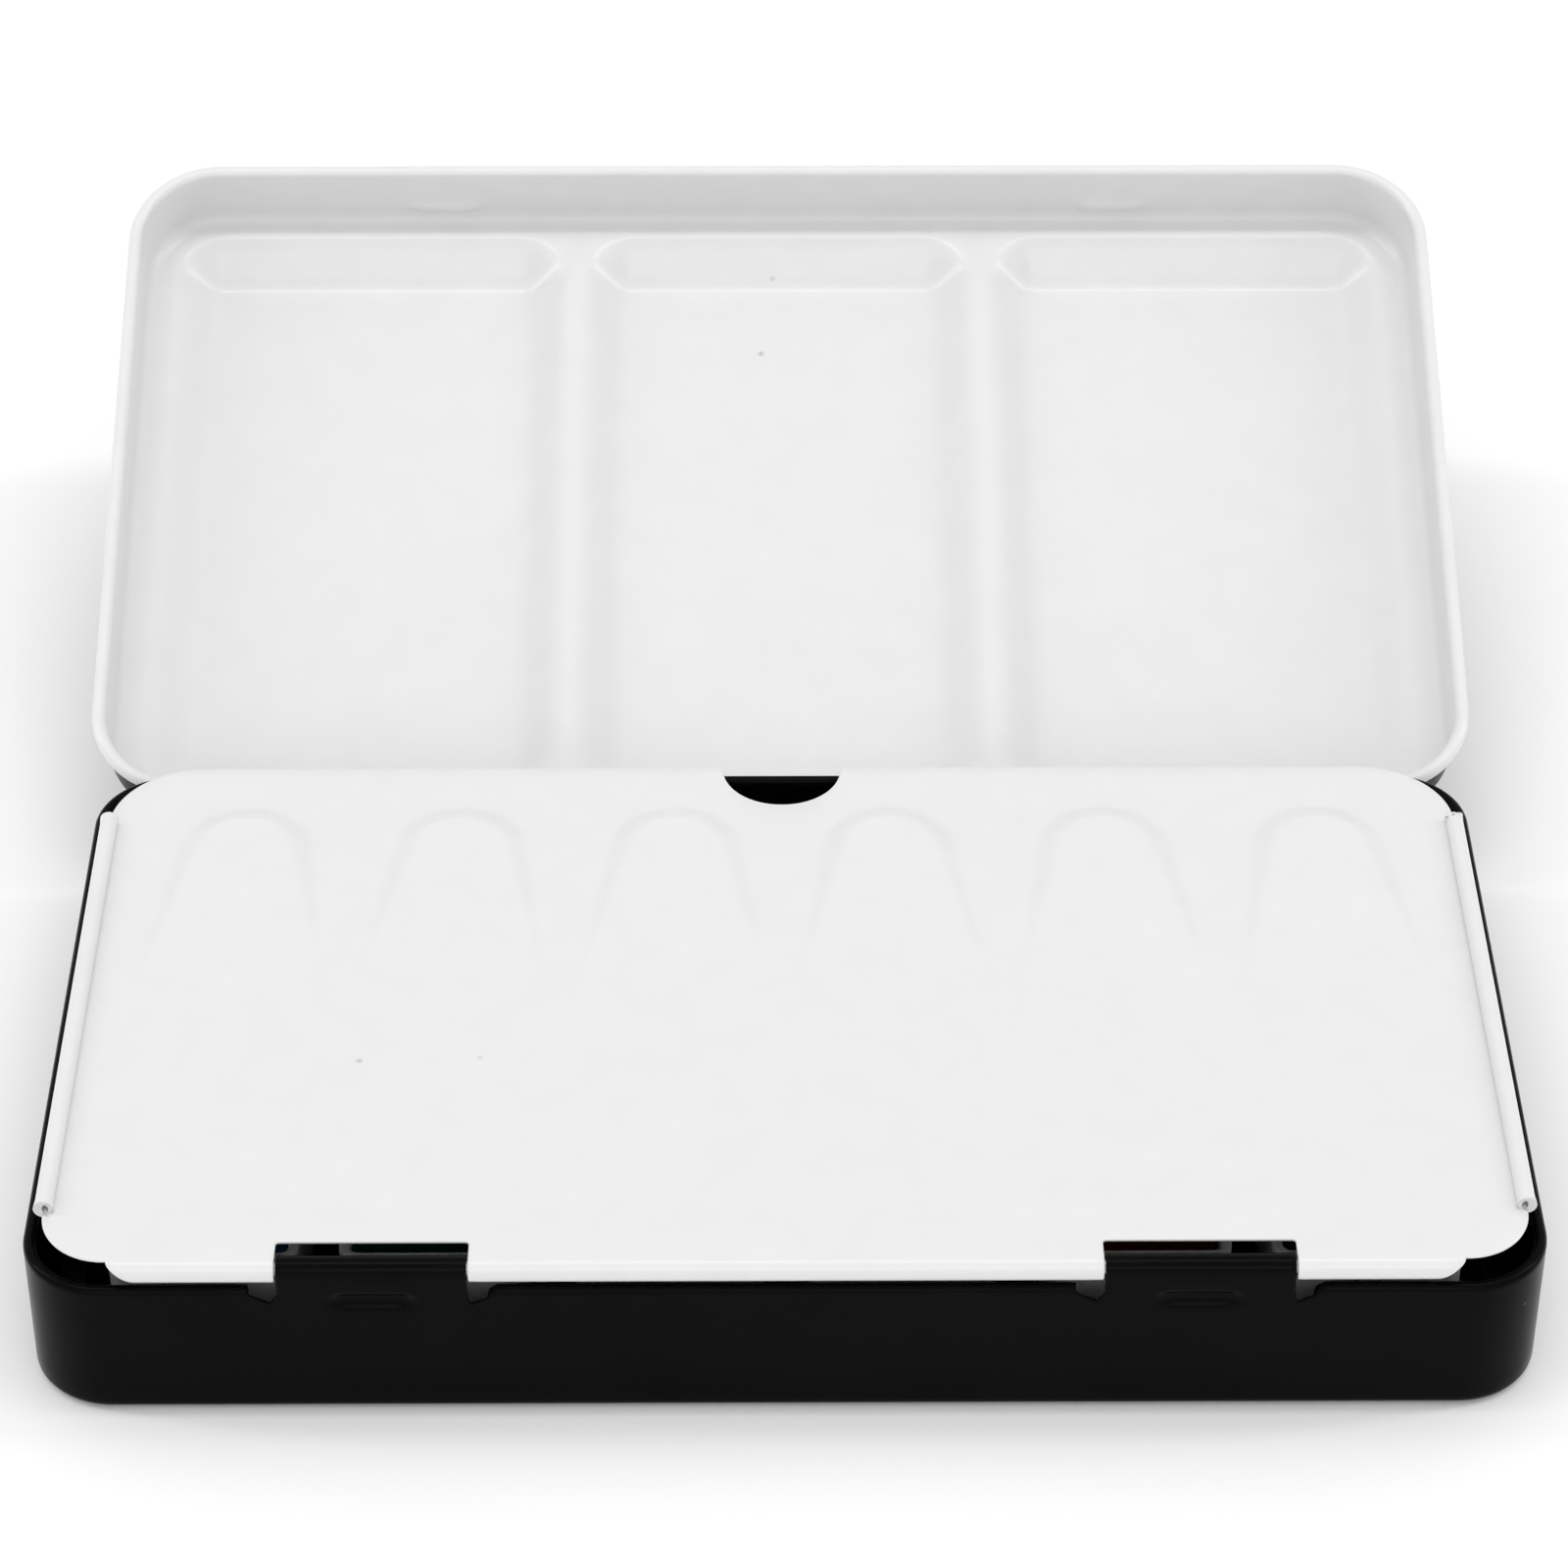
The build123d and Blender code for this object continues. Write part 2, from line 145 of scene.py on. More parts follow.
pan_length_x = 16.0 * MM
pan_length_y = 19.0 * MM
pan_corner = 1.6 * MM
cake_length_x = 14.16 * MM
cake_length_y = 17.16 * MM
cake_corner = 0.6 * MM
cake_edge = 0.25 * MM
pan_count = 12

holder_sheet = 0.3 * MM
holder_corner = 4.0 * MM
holder_bend = 0.8 * MM
deck_z = 3.25 * MM
tongue_width = 7.0 * MM
tongue_height = 4.9 * MM
tongue_gap = 0.12 * MM
tongue_side_room = 0.3 * MM
tongue_window = 4.6 * MM
rivet_places = [4.2 * MM, 10.6 * MM]


# ---------------------------------------------------------------- outlines in the plane
def rounded(corners, step):
    """Points round a closed outline, anticlockwise. A corner is (x, y, radius); radius 0 keeps the point."""
    points = []
    count = len(corners)
    for n, (x, y, radius) in enumerate(corners):
        here = Vector((x, y))
        into = (here - Vector(corners[n - 1][:2])).normalized()
        out = (Vector(corners[(n + 1) % count][:2]) - here).normalized()
        if radius:
            turn = into.angle_signed(out)
            side = Vector((-into.y, into.x)) * (-1 if turn > 0 else 1)
            centre = here - into * radius * tan(abs(turn) / 2) + side * radius
            spoke = -side * radius
            steps = max(4, round(abs(turn) * radius / min(step, 0.5 * MM)))
            arc = [centre + Matrix.Rotation(-turn * k / steps, 2) @ spoke for k in range(steps + 1)]
        else:
            arc = [here]
        points += between(points[-1], arc[0], step) + arc if points else arc
    return points + between(points[-1], points[0], step)


def between(start, end, step):
    """The points that divide a straight stretch evenly, without its ends."""
    parts = max(1, round((end - start).length / step))
    return [start.lerp(end, k / parts) for k in range(1, parts)]


def round_rectangle(half_x, half_y, radius, step, middle=(0, 0)):
    """Points round a rectangle with round corners."""
    x, y = middle
    corners = [(-half_x, -half_y), (half_x, -half_y), (half_x, half_y), (-half_x, half_y)]
    return rounded([(x + a, y + b, radius) for a, b in corners], step)


def outward(loop):
    """The outward direction at every point of a closed anticlockwise outline."""
    count = len(loop)
    normals = []
    for n in range(count):
        along = loop[(n + 1) % count] - loop[n - 1]
        normals.append(Vector((along.y, -along.x)).normalized())
    return normals


def rectangle_depth(point, half_x, half_y, radius, middle=(0, 0)):
    """How far a point lies inside a round-cornered rectangle; outside it is negative."""
    x = abs(point[0] - middle[0]) - half_x + radius
    y = abs(point[1] - middle[1]) - half_y + radius
    return radius - sqrt(max(x, 0) ** 2 + max(y, 0) ** 2) - min(max(x, y), 0)


def soft_max(a, b, width):
    """The greater of two heights, with a round transition of that width."""
    share = max(width - abs(a - b), 0) / width
    return max(a, b) + share * share * width / 4


def soft_ramp(distance, run, rise, width):
    """Height of a sloping wall: 0 before it, rise after it, with a round foot and a round head."""
    up = soft_max(distance / run * rise, 0, width)
    return -soft_max(-up, -rise, width)


def inside(point, loop):
    """Does a point lie inside a closed outline?"""
    x, y = point
    found = False
    before = loop[-1]
    for here in loop:
        if (here.y > y) != (before.y > y):
            cross = (before.x - here.x) * (y - here.y) / (before.y - here.y) + here.x
            if x < cross:
                found = not found
        before = here
    return found


# ---------------------------------------------------------------- pressed sheet
class Sheet:
    """One side of a pressed sheet, built from a floor and from rows that follow its edge."""

    def __init__(self):
        self.mesh = bmesh.new()

    def row(self, points):
        """New points, in order along the edge."""
        return [self.mesh.verts.new(point) for point in points]

    def band(self, inner, outer, closed=True, keep=None):
        """Faces between two rows; keep(n) says which stretch has them."""
        last = len(inner) if closed else len(inner) - 1
        for n in range(last):
            if keep is None or keep(n):
                after = (n + 1) % len(inner)
                self.mesh.faces.new((inner[after], inner[n], outer[n], outer[after]))

    def extend(self, before, points, closed=True, keep=None):
        """Adds a row at those points and joins it to the row before."""
        after = self.row(points)
        self.band(before, after, closed, keep)
        return after

    def floor(self, edge, contours, spacing, height, clear, windows=()):
        """Fills the row edge with triangles that follow the contours; elsewhere a plain lattice."""
        outline = [Vector(vert.co[:2]) for vert in edge]
        low_x, high_x = min(p.x for p in outline), max(p.x for p in outline)
        low_y, high_y = min(p.y for p in outline), max(p.y for p in outline)
        points = list(outline)
        for contour in contours:
            points += [point for point in contour if inside(point, outline)]
        rows = int((high_y - low_y) / (spacing * 0.87))
        for r in range(1, rows):
            y = low_y + (high_y - low_y) * r / rows
            x = low_x + spacing * (0.5 if r % 2 else 1.0)
            while x < high_x:
                if clear((x, y)) and inside((x, y), outline):
                    points.append(Vector((x, y)))
                x += spacing
        count = len(outline)
        edges = [(n, (n + 1) % count) for n in range(count)]
        for window in windows:
            first, size = len(points), len(window)
            points += window
            edges += [(first + n, first + (n + 1) % size) for n in range(size)]
        flat, _, triangles, origins, _, _ = delaunay_2d_cdt(points, edges, [], 1, 1e-8)
        verts = []
        for place, sources in zip(flat, origins):
            known = [n for n in sources if n < count]
            verts.append(edge[known[0]] if known else self.mesh.verts.new((*place, height(place))))
        for triangle in triangles:
            middle = sum((flat[n] for n in triangle), Vector((0, 0))) / 3
            if not any(inside(middle, window) for window in windows):
                self.mesh.faces.new([verts[n] for n in triangle])

    def finish(self, name, place, thickness, materials, flip=False, other_side=0):
        """Gives the surface its thickness and a round edge, and puts it in its place."""
        mesh = self.mesh
        loose = [vert for vert in mesh.verts if not vert.link_faces]
        bmesh.ops.delete(mesh, geom=loose, context="VERTS")
        if flip:
            bmesh.ops.reverse_faces(mesh, faces=mesh.faces)
        mesh.transform(place)
        thicken(mesh, thickness, other_side)
        data = bpy.data.meshes.new(name)
        mesh.to_mesh(data)
        mesh.free()
        return new_piece(name, data, materials)


def thicken(mesh, thickness, other_side):
    """Adds the sheet's other side below the surface and a half-round edge between the two."""
    mesh.normal_update()
    faces = list(mesh.faces)
    below = {}
    for vert in list(mesh.verts):
        lean = sum(vert.normal.dot(face.normal) for face in vert.link_faces) / len(vert.link_faces)
        below[vert] = mesh.verts.new(vert.co - vert.normal * thickness / max(lean, 0.8))
    border = [edge for edge in mesh.edges if len(edge.link_faces) == 1]
    sideways = {}
    for edge in border:
        loop = edge.link_loops[0]
        along = loop.link_loop_next.vert.co - loop.vert.co
        away = along.cross(loop.face.normal).normalized()
        for vert in edge.verts:
            sideways[vert] = sideways.get(vert, Vector()) + away
    rims = {}
    for vert, away in sideways.items():
        away = away.normalized() * thickness * 0.4
        steps = [(1 - cos(pi * k / 4)) / 2 for k in (1, 2, 3)]
        bulge = [sin(pi * k / 4) for k in (1, 2, 3)]
        middle = [mesh.verts.new(vert.co.lerp(below[vert].co, f) + away * g) for f, g in zip(steps, bulge)]
        rims[vert] = [vert, *middle, below[vert]]
    for edge in border:
        loop = edge.link_loops[0]
        first, second = loop.vert, loop.link_loop_next.vert
        for k in range(4):
            mesh.faces.new((rims[second][k], rims[first][k], rims[first][k + 1], rims[second][k + 1]))
    for face in faces:
        under = mesh.faces.new([below[vert] for vert in reversed(face.verts)])
        under.material_index = other_side
    mesh.normal_update()
    for face in mesh.faces:
        face.smooth = True
    for edge in mesh.edges:
        if len(edge.link_faces) == 2 and edge.calc_face_angle(0) > radians(48):
            edge.smooth = False


def new_piece(name, data, materials):
    """A piece in the scene with its mesh and finishes."""
    piece = bpy.data.objects.new(name, data)
    bpy.context.scene.collection.objects.link(piece)
    for material in materials:
        data.materials.append(material)
    return piece


def settle(piece):
    """Applies the modifiers, so that the piece is a plain mesh."""
    graph = bpy.context.evaluated_depsgraph_get()
    graph.update()
    made = piece.evaluated_get(graph)
    data = bpy.data.meshes.new_from_object(made, preserve_all_data_layers=True, depsgraph=graph)
    piece.modifiers.clear()
    old = piece.data
    piece.data = data
    name = old.name
    bpy.data.meshes.remove(old)
    data.name = name
    return piece


def curl(sheet, edge, ahead, turn, radius, sweep, steps, shift=None):
    """Rolls an edge row: it leaves along ahead and bends towards turn, through the angle sweep."""
    start = [vert.co.copy() for vert in edge]
    before = edge
    for k in range(1, steps + 1):
        angle = sweep * k / steps
        points = []
        for n, point in enumerate(start):
            place = point + radius * (ahead * sin(angle) + turn[n] * (1 - cos(angle)))
            if shift:
                place.x += shift(point.x, angle)
            points.append(place)
        before = sheet.extend(before, points, False)
    return before


def quarter_bend(sheet, edge, loop, normals, radius, height, way, steps):
    """Bends a sheet from flat to upright along its edge row; way is 1 upwards and -1 downwards."""
    before = edge
    for k in range(1, steps + 1):
        angle = pi / 2 * k / steps
        level = height + way * radius * (1 - cos(angle))
        before = sheet.extend(before, lift(loop, normals, radius * (sin(angle) - 1), level))
    return before


def runs(loop, belongs):
    """The stretches of consecutive points of a closed row for which belongs is true."""
    flags = [belongs(vert.co) for vert in loop]
    first = flags.index(False)
    found = []
    for k in range(len(loop)):
        n = (first + k) % len(loop)
        if flags[n]:
            if not flags[n - 1]:
                found.append([])
            found[-1].append(loop[n])
    return found


def lift(loop, normals, inset, height):
    """A row of points at a distance outside an outline and at a height."""
    return [Vector((p.x + n.x * inset, p.y + n.y * inset, height)) for p, n in zip(loop, normals)]


def capsule_depth(along, across, half, half_height, depth):
    """Depth of a long round-ended dent, with soft sides."""
    x = max(abs(along) - (half - half_height), 0)
    reach = 1 - sqrt(x * x + across * across) / half_height
    return depth * min(1, max(0, reach) * 1.7) if reach > 0 else 0


# ---------------------------------------------------------------- finishes
def material(name):
    """A new material, its tree and its shader."""
    made = bpy.data.materials.new(name)
    made.use_nodes = True
    return made, made.node_tree, made.node_tree.nodes["Principled BSDF"]


def node(tree, kind, **values):
    """A new node with some of its settings."""
    made = tree.nodes.new(kind)
    for key, value in values.items():
        setattr(made, key, value)
    return made


def noise(tree, scale, detail=2.0, rough=0.5, stretch=None):
    """A noise pattern on the piece's own coordinates, scale in features a metre."""
    place = node(tree, "ShaderNodeTexCoord")
    vector = place.outputs["Object"]
    if stretch:
        mapping = node(tree, "ShaderNodeMapping")
        mapping.inputs["Scale"].default_value = stretch
        tree.links.new(vector, mapping.inputs["Vector"])
        vector = mapping.outputs["Vector"]
    pattern = node(tree, "ShaderNodeTexNoise")
    pattern.inputs["Scale"].default_value = scale
    pattern.inputs["Detail"].default_value = detail
    pattern.inputs["Roughness"].default_value = rough
    tree.links.new(vector, pattern.inputs["Vector"])
    return pattern.outputs["Fac"]


def cells(tree, scale):
    """A cell pattern on the piece's own coordinates, scale in cells a metre."""
    place = node(tree, "ShaderNodeTexCoord")
    pattern = node(tree, "ShaderNodeTexVoronoi", feature="F1")
    pattern.inputs["Scale"].default_value = scale
    tree.links.new(place.outputs["Object"], pattern.inputs["Vector"])
    return pattern


def spread(tree, value, low, high, into, from_low=0.3, from_high=0.7):
    """Maps a pattern onto a range of numbers."""
    remap = node(tree, "ShaderNodeMapRange")
    remap.inputs["From Min"].default_value = from_low
    remap.inputs["From Max"].default_value = from_high
    remap.inputs["To Min"].default_value = low
    remap.inputs["To Max"].default_value = high
    tree.links.new(value, remap.inputs["Value"])
    if into is not None:
        tree.links.new(remap.outputs["Result"], into)
    return remap.outputs["Result"]


def tint(tree, value, first, second, into, from_low=0.3, from_high=0.7):
    """Blends two colours by a pattern."""
    share = spread(tree, value, 0, 1, None, from_low, from_high)
    mix = node(tree, "ShaderNodeMix", data_type="RGBA")
    mix.inputs["A"].default_value = (*first, 1)
    mix.inputs["B"].default_value = (*second, 1)
    tree.links.new(share, mix.inputs["Factor"])
    if into is not None:
        tree.links.new(mix.outputs["Result"], into)
    return mix.outputs["Result"]


def relief(tree, shader, layers):
    """Stacks bump layers: each is (pattern, height in metres)."""
    before = None
    for pattern, height in layers:
        bump = node(tree, "ShaderNodeBump")
        bump.inputs["Strength"].default_value = 1.0
        bump.inputs["Distance"].default_value = height
        tree.links.new(pattern, bump.inputs["Height"])
        if before:
            tree.links.new(before, bump.inputs["Normal"])
        before = bump.outputs["Normal"]
    tree.links.new(before, shader.inputs["Normal"])


def specks(tree, scale, size):
    """Sparse round specks: 1 inside one, 0 outside."""
    pattern = cells(tree, scale)
    pattern.inputs["Randomness"].default_value = 1.0
    spot = spread(tree, pattern.outputs["Distance"], 1, 0, None, 0, size)
    few = spread(tree, pattern.outputs["Color"], 0, 1, None, 0.80, 0.84)
    both = node(tree, "ShaderNodeMath", operation="MULTIPLY")
    tree.links.new(spot, both.inputs[0])
    tree.links.new(few, both.inputs[1])
    return both.outputs[0]


def overlay(tree, share, under, colour):
    """Lays a colour over another where share is 1."""
    mix = node(tree, "ShaderNodeMix", data_type="RGBA")
    mix.inputs["B"].default_value = (*colour, 1)
    tree.links.new(share, mix.inputs["Factor"])
    tree.links.new(under, mix.inputs["A"])
    return mix.outputs["Result"]


def white_enamel():
    """Baked white enamel: an even coat with faint clouding, orange peel and a few specks."""
    made, tree, shader = material("white baked enamel")
    cloud = noise(tree, 260, 2, 0.5)
    clean = tint(tree, cloud, (0.732, 0.732, 0.729), (0.748, 0.748, 0.745), None)
    speck = specks(tree, 120, 0.05)
    tree.links.new(overlay(tree, speck, clean, (0.42, 0.42, 0.41)), shader.inputs["Base Color"])
    spread(tree, noise(tree, 70, 3, 0.5), 0.285, 0.35, shader.inputs["Roughness"])
    shader.inputs["Coat Weight"].default_value = 0.2
    shader.inputs["Coat Roughness"].default_value = 0.16
    peel = (noise(tree, 380, 1, 0.4), 0.006 * MM)
    grain = (noise(tree, 1300, 1, 0.4), 0.0015 * MM)
    relief(tree, shader, [peel, grain, (speck, 0.01 * MM)])
    return made


def black_enamel():
    """Baked black enamel: satin, with a slight texture and a little dust under the coat."""
    made, tree, shader = material("black baked enamel")
    dust = specks(tree, 340, 0.09)
    body = tint(tree, noise(tree, 60, 3, 0.6), (0.0012, 0.0012, 0.0013), (0.0022, 0.0022, 0.0024), None)
    tree.links.new(overlay(tree, dust, body, (0.09, 0.09, 0.09)), shader.inputs["Base Color"])
    spread(tree, noise(tree, 140, 4, 0.65), 0.20, 0.262, shader.inputs["Roughness"])
    shader.inputs["Specular IOR Level"].default_value = 0.045
    peel = (noise(tree, 600, 2, 0.5), 0.006 * MM)
    grain = (noise(tree, 2600, 1, 0.5), 0.002 * MM)
    relief(tree, shader, [peel, grain, (dust, 0.01 * MM)])
    return made


def bright_metal(name, colour, low, high, stretch, grain):
    """Drawn or rolled metal: fine streaks along one direction, with faint tarnish."""
    made, tree, shader = material(name)
    shader.inputs["Metallic"].default_value = 1.0
    tarnish = tuple(0.72 * value for value in colour)
    tint(tree, noise(tree, 260, 5, 0.7), tarnish, colour, shader.inputs["Base Color"], 0.25, 0.6)
    streak = noise(tree, grain, 3, 0.6, stretch)
    spread(tree, streak, low, high, shader.inputs["Roughness"])
    relief(tree, shader, [(streak, 0.004 * MM)])
    return made


def white_plastic():
    """Injection-moulded white plastic: slightly translucent, with a fine moulded grain."""
    made, tree, shader = material("moulded white plastic")
    tint(tree, noise(tree, 90, 3, 0.6), (0.72, 0.72, 0.70), (0.80, 0.80, 0.785), shader.inputs["Base Color"])
    spread(tree, noise(tree, 700, 3, 0.6), 0.34, 0.48, shader.inputs["Roughness"])
    shader.inputs["Subsurface Weight"].default_value = 0.12
    shader.inputs["Subsurface Radius"].default_value = (MM, MM, MM)
    relief(tree, shader, [(noise(tree, 2400, 2, 0.6), 0.006 * MM)])
    return made


def watercolour(name, colour):
    """Dried paint: deep colour, bloom where it is thin, fine grain and a half-gloss gum surface."""
    made, tree, shader = material(name)
    deep = tuple(0.45 * value for value in colour)
    pale = tuple(min(1, 1.15 * value + 0.006) for value in colour)
    base = tint(tree, noise(tree, 330, 6, 0.7), deep, colour, None, 0.3, 0.62)
    bloom = spread(tree, noise(tree, 120, 4, 0.7), 0, 0.45, None, 0.5, 0.75)
    tree.links.new(overlay(tree, bloom, base, pale), shader.inputs["Base Color"])
    spread(tree, noise(tree, 500, 5, 0.7), 0.30, 0.62, shader.inputs["Roughness"])
    shader.inputs["Specular IOR Level"].default_value = 0.28
    crust = (noise(tree, 420, 4, 0.6), 0.09 * MM)
    grain = (noise(tree, 2800, 3, 0.7), 0.02 * MM)
    relief(tree, shader, [crust, grain])
    return made


# ---------------------------------------------------------------- the lid, a tray with three mixing wells
def lid_well_places():
    """Middle x and half sizes of the three wells."""
    inner = lid_divider_x - lid_divider_crest / 2
    first = lid_divider_x + lid_divider_crest / 2
    last = half_length + lid_gap - lid_shelf
    half_y = half_width + lid_gap - lid_shelf
    side, half = (first + last) / 2, (last - first) / 2
    return [(0, inner, half_y), (side, half, half_y), (-side, half, half_y)]


def lid_floor_height(point):
    """The lid's shelf and the deeper wells in it, below the rim at height 0."""
    low = lid_shelf_rise
    for x, half_x, half_y in lid_well_places():
        depth = rectangle_depth(point, half_x, half_y, lid_well_corner, (x, 0))
        low += soft_ramp(depth, lid_well_run, lid_well_rise, 0.9 * MM)
    return -low


def make_lid(materials):
    """Made with its rim up at height 0, then turned over and swung open."""
    sheet = Sheet()
    half_x, half_y = half_length + lid_gap, half_width + lid_gap
    notches = [a * lid_catch_x + b * lid_notch_half for a in (-1, 1) for b in (-1, 1)]
    bead_ends = [-lid_bead_start, lid_bead_start]
    corner = tin_corner + lid_gap
    hinge_side = [(x, -half_y, 0) for x in sorted(notches + bead_ends)]
    corners = [(-half_x, -half_y, corner), *hinge_side, (half_x, -half_y, corner)]
    corners += [(half_x, half_y, corner), (-half_x, half_y, corner)]
    loop = rounded(corners, 0.8 * MM)
    normals = outward(loop)
    edge = sheet.row(lift(loop, normals, -lid_fillet, -lid_shelf_rise))
    contours = []
    for x, wide, deep in lid_well_places():
        for inset in (-0.7, -0.3, 0, 0.3, 0.8, 1.7, 2.6, 3.1, 3.45, 3.8, 4.3):
            radius = max(lid_well_corner - inset * MM, 0.7 * MM)
            contours.append(round_rectangle(wide - inset * MM, deep - inset * MM, radius, 0.9 * MM, (x, 0)))

    def clear(point):
        depth = max(rectangle_depth(point, w, d, lid_well_corner, (x, 0)) for x, w, d in lid_well_places())
        return depth > 5 * MM or depth < -1.3 * MM

    def wall(p, n, height):
        dent = 0
        if n.y > 0.99:
            up = height + lid_catch_rise - lid_catch_lift
            dent = capsule_depth(abs(p.x) - lid_catch_x, up, catch_half, catch_half_height, catch_depth)
        return Vector((p.x - n.x * dent, p.y - n.y * dent, height))

    def beaded(place):
        return place.y > -half_y + touch or abs(place.x) > lid_bead_start + 1e-6

    sheet.floor(edge, contours, 2.2 * MM, lid_floor_height, clear)
    before = quarter_bend(sheet, edge, loop, normals, lid_fillet, -lid_shelf_rise, 1, 5)
    cut = lid_notch_top - lid_rim_z
    catch_rows = [-5.9 + 0.2 * k for k in range(8)]
    low = False
    for height in [*catch_rows, -4.2, -3.4, -2.6, -cut / MM, -1.5, -1.05, -lid_curl / MM]:
        row = sheet.row([wall(p, n, height * MM) for p, n in zip(loop, normals)])
        sheet.band(before, row, True, not_in_notch(row) if low else None)
        low = height * MM >= -cut
        before = row
    for stretch in runs(before, beaded):
        out = [loop_normal(vert.co, half_x, half_y, corner) for vert in stretch]
        curl(sheet, stretch, Vector((0, 0, 1)), out, lid_curl, lid_curl_turn, 16)
    turn = Matrix.Translation(lid_axis) @ Matrix.Rotation(-open_angle, 4, "X") @ Matrix.Translation(-lid_axis)
    place = turn @ Matrix.Translation((0, 0, lid_rim_z)) @ Matrix.Rotation(pi, 4, "X")
    return sheet.finish("lid_tray", place, lid_sheet, materials, other_side=1)


def not_in_notch(row):
    """Which faces of the lid's wall stand, beside the two notches for the rear hinges."""
    half_y = half_width + lid_gap

    def keep(n):
        middle = (row[n].co + row[(n + 1) % len(row)].co) / 2
        return middle.y > -half_y + touch or abs(abs(middle.x) - lid_catch_x) > lid_notch_half

    return keep


def loop_normal(place, half_x, half_y, radius):
    """The outward direction of a round-cornered rectangle at a point of its edge."""
    x = max(abs(place.x) - half_x + radius, 0)
    y = max(abs(place.y) - half_y + radius, 0)
    return Vector((x if place.x > 0 else -x, y if place.y > 0 else -y, 0)).normalized()


# ---------------------------------------------------------------- the tin, a black tray
def tin_floor_height(point):
    """The tin's floor, which rises over the thumb ring's pocket."""
    depth = rectangle_depth(point, pocket_length / 2, pocket_width / 2, pocket_corner, (0, pocket_y))
    return soft_ramp(depth, 0.7 * MM, pocket_depth, 0.35 * MM)


def tin_state(x, y):
    """What the front wall's top does at x: a tab, a relief beside it, or the rolled rim."""
    if y > -half_width + touch:
        return "rim"
    off = abs(abs(x) - tab_x) - tab_width / 2
    if off < 1e-7:
        return "tab"
    return "relief" if off < relief_width - 1e-7 else "rim"


def make_tin(materials):
    """The base: floor, walls with catch dents, two hinge tabs, reliefs beside them, rolled rim."""
    sheet = Sheet()
    marks = []
    for side in (-1, 1):
        for reach in (tab_width / 2, tab_width / 2 + relief_width):
            marks += [side * tab_x - reach, side * tab_x + reach]
    front = [(x, -half_width, 0) for x in sorted(marks)]
    corners = [(-half_length, -half_width, tin_corner), *front, (half_length, -half_width, tin_corner)]
    corners += [(half_length, half_width, tin_corner), (-half_length, half_width, tin_corner)]
    loop = []
    for point in rounded(corners, 0.6 * MM):
        if loop and tin_state(point.x, point.y) == "relief" and tin_state(loop[-1].x, loop[-1].y) != "rim":
            loop += between(loop[-1], point, 0.12 * MM)
        loop.append(point)
    normals = outward(loop)
    edge = sheet.row(lift(loop, normals, -tin_foot_radius, 0))
    contours = []
    for inset in (-0.4, -0.15, 0.05, 0.25, 0.45, 0.65, 0.85, 1.1):
        half_x, half_y = pocket_length / 2 - inset * MM, pocket_width / 2 - inset * MM
        radius = pocket_corner - inset * MM
        contours.append(round_rectangle(half_x, half_y, radius, 0.9 * MM, (0, pocket_y)))

    def clear(point):
        depth = rectangle_depth(point, pocket_length / 2, pocket_width / 2, pocket_corner, (0, pocket_y))
        return depth > 1.6 * MM or depth < -0.9 * MM

    def wall(p, n, height):
        dent = 0
        if n.y < -0.99:
            along, across = abs(p.x) - tab_x, height - tin_catch_z
            dent = capsule_depth(along, across, catch_half, catch_half_height, catch_depth)
        return Vector((p.x - n.x * dent, p.y - n.y * dent, height))

    sheet.floor(edge, contours, 2.6 * MM, tin_floor_height, clear)
    before = quarter_bend(sheet, edge, loop, normals, tin_foot_radius, 0, 1, 5)
    for height in tin_wall_steps_mm:
        before = sheet.extend(before, [wall(p, n, height * MM) for p, n in zip(loop, normals)])
    low, top = tin_wall_steps_mm[-1] * MM, tin_height - tin_curl
    for k in range(1, 8):
        points = []
        for p, n in zip(loop, normals):
            high = top
            if tin_state(p.x, p.y) == "relief":
                high -= relief_drop(abs(abs(p.x) - tab_x) - tab_width / 2)
            points.append(wall(p, n, low + (high - low) * k / 7))
        before = sheet.extend(before, points)
    count = len(loop)
    states = [tin_state(p.x, p.y) for p in loop]
    for kind in ("rim", "tab"):
        for stretch in stretches(states, kind):
            verts = [before[n % count] for n in stretch]
            radius, sweep = tin_curl, tin_curl_turn
            if kind == "tab":
                radius, sweep = knuckle_radius, knuckle_turn
                for height in (13.2, 13.4, 14.2, flap_axis.z / MM):
                    points = [wall(loop[n % count], normals[n % count], height * MM) for n in stretch]
                    verts = sheet.extend(verts, points, False)
            inward = [rectangle_inward(loop[n % count]) for n in stretch]
            curl(sheet, verts, Vector((0, 0, 1)), inward, radius, sweep, 18)
    return sheet.finish("tin_tray", Matrix.Identity(4), tin_sheet, materials, flip=True)


def rectangle_inward(point):
    """The direction from the tin's wall to its inside."""
    return -loop_normal(Vector((point.x, point.y, 0)), half_length, half_width, tin_corner)


def relief_drop(off):
    """Depth of the cut beside a tab: steep and round next to the tab, then a ramp back up to the rim."""
    if off < relief_round:
        return relief_depth * sqrt(max(0, 1 - (1 - off / relief_round) ** 2))
    return relief_depth * (1 - (off - relief_round) / (relief_width - relief_round)) ** 0.85


def stretches(states, kind):
    """Index runs round a closed row in one state; the column where a run ends next to a tab is in both."""
    count = len(states)
    first = next(n for n in range(count) if states[n] != kind and states[n - 1] == kind)
    found = []
    current = []
    for n in range(first, first + count + 1):
        if states[n % count] == kind:
            if not current and kind == "rim":
                current.append(n - 1)
            current.append(n)
        elif current:
            found.append(current)
            current = []
    return found + ([current] if current else [])


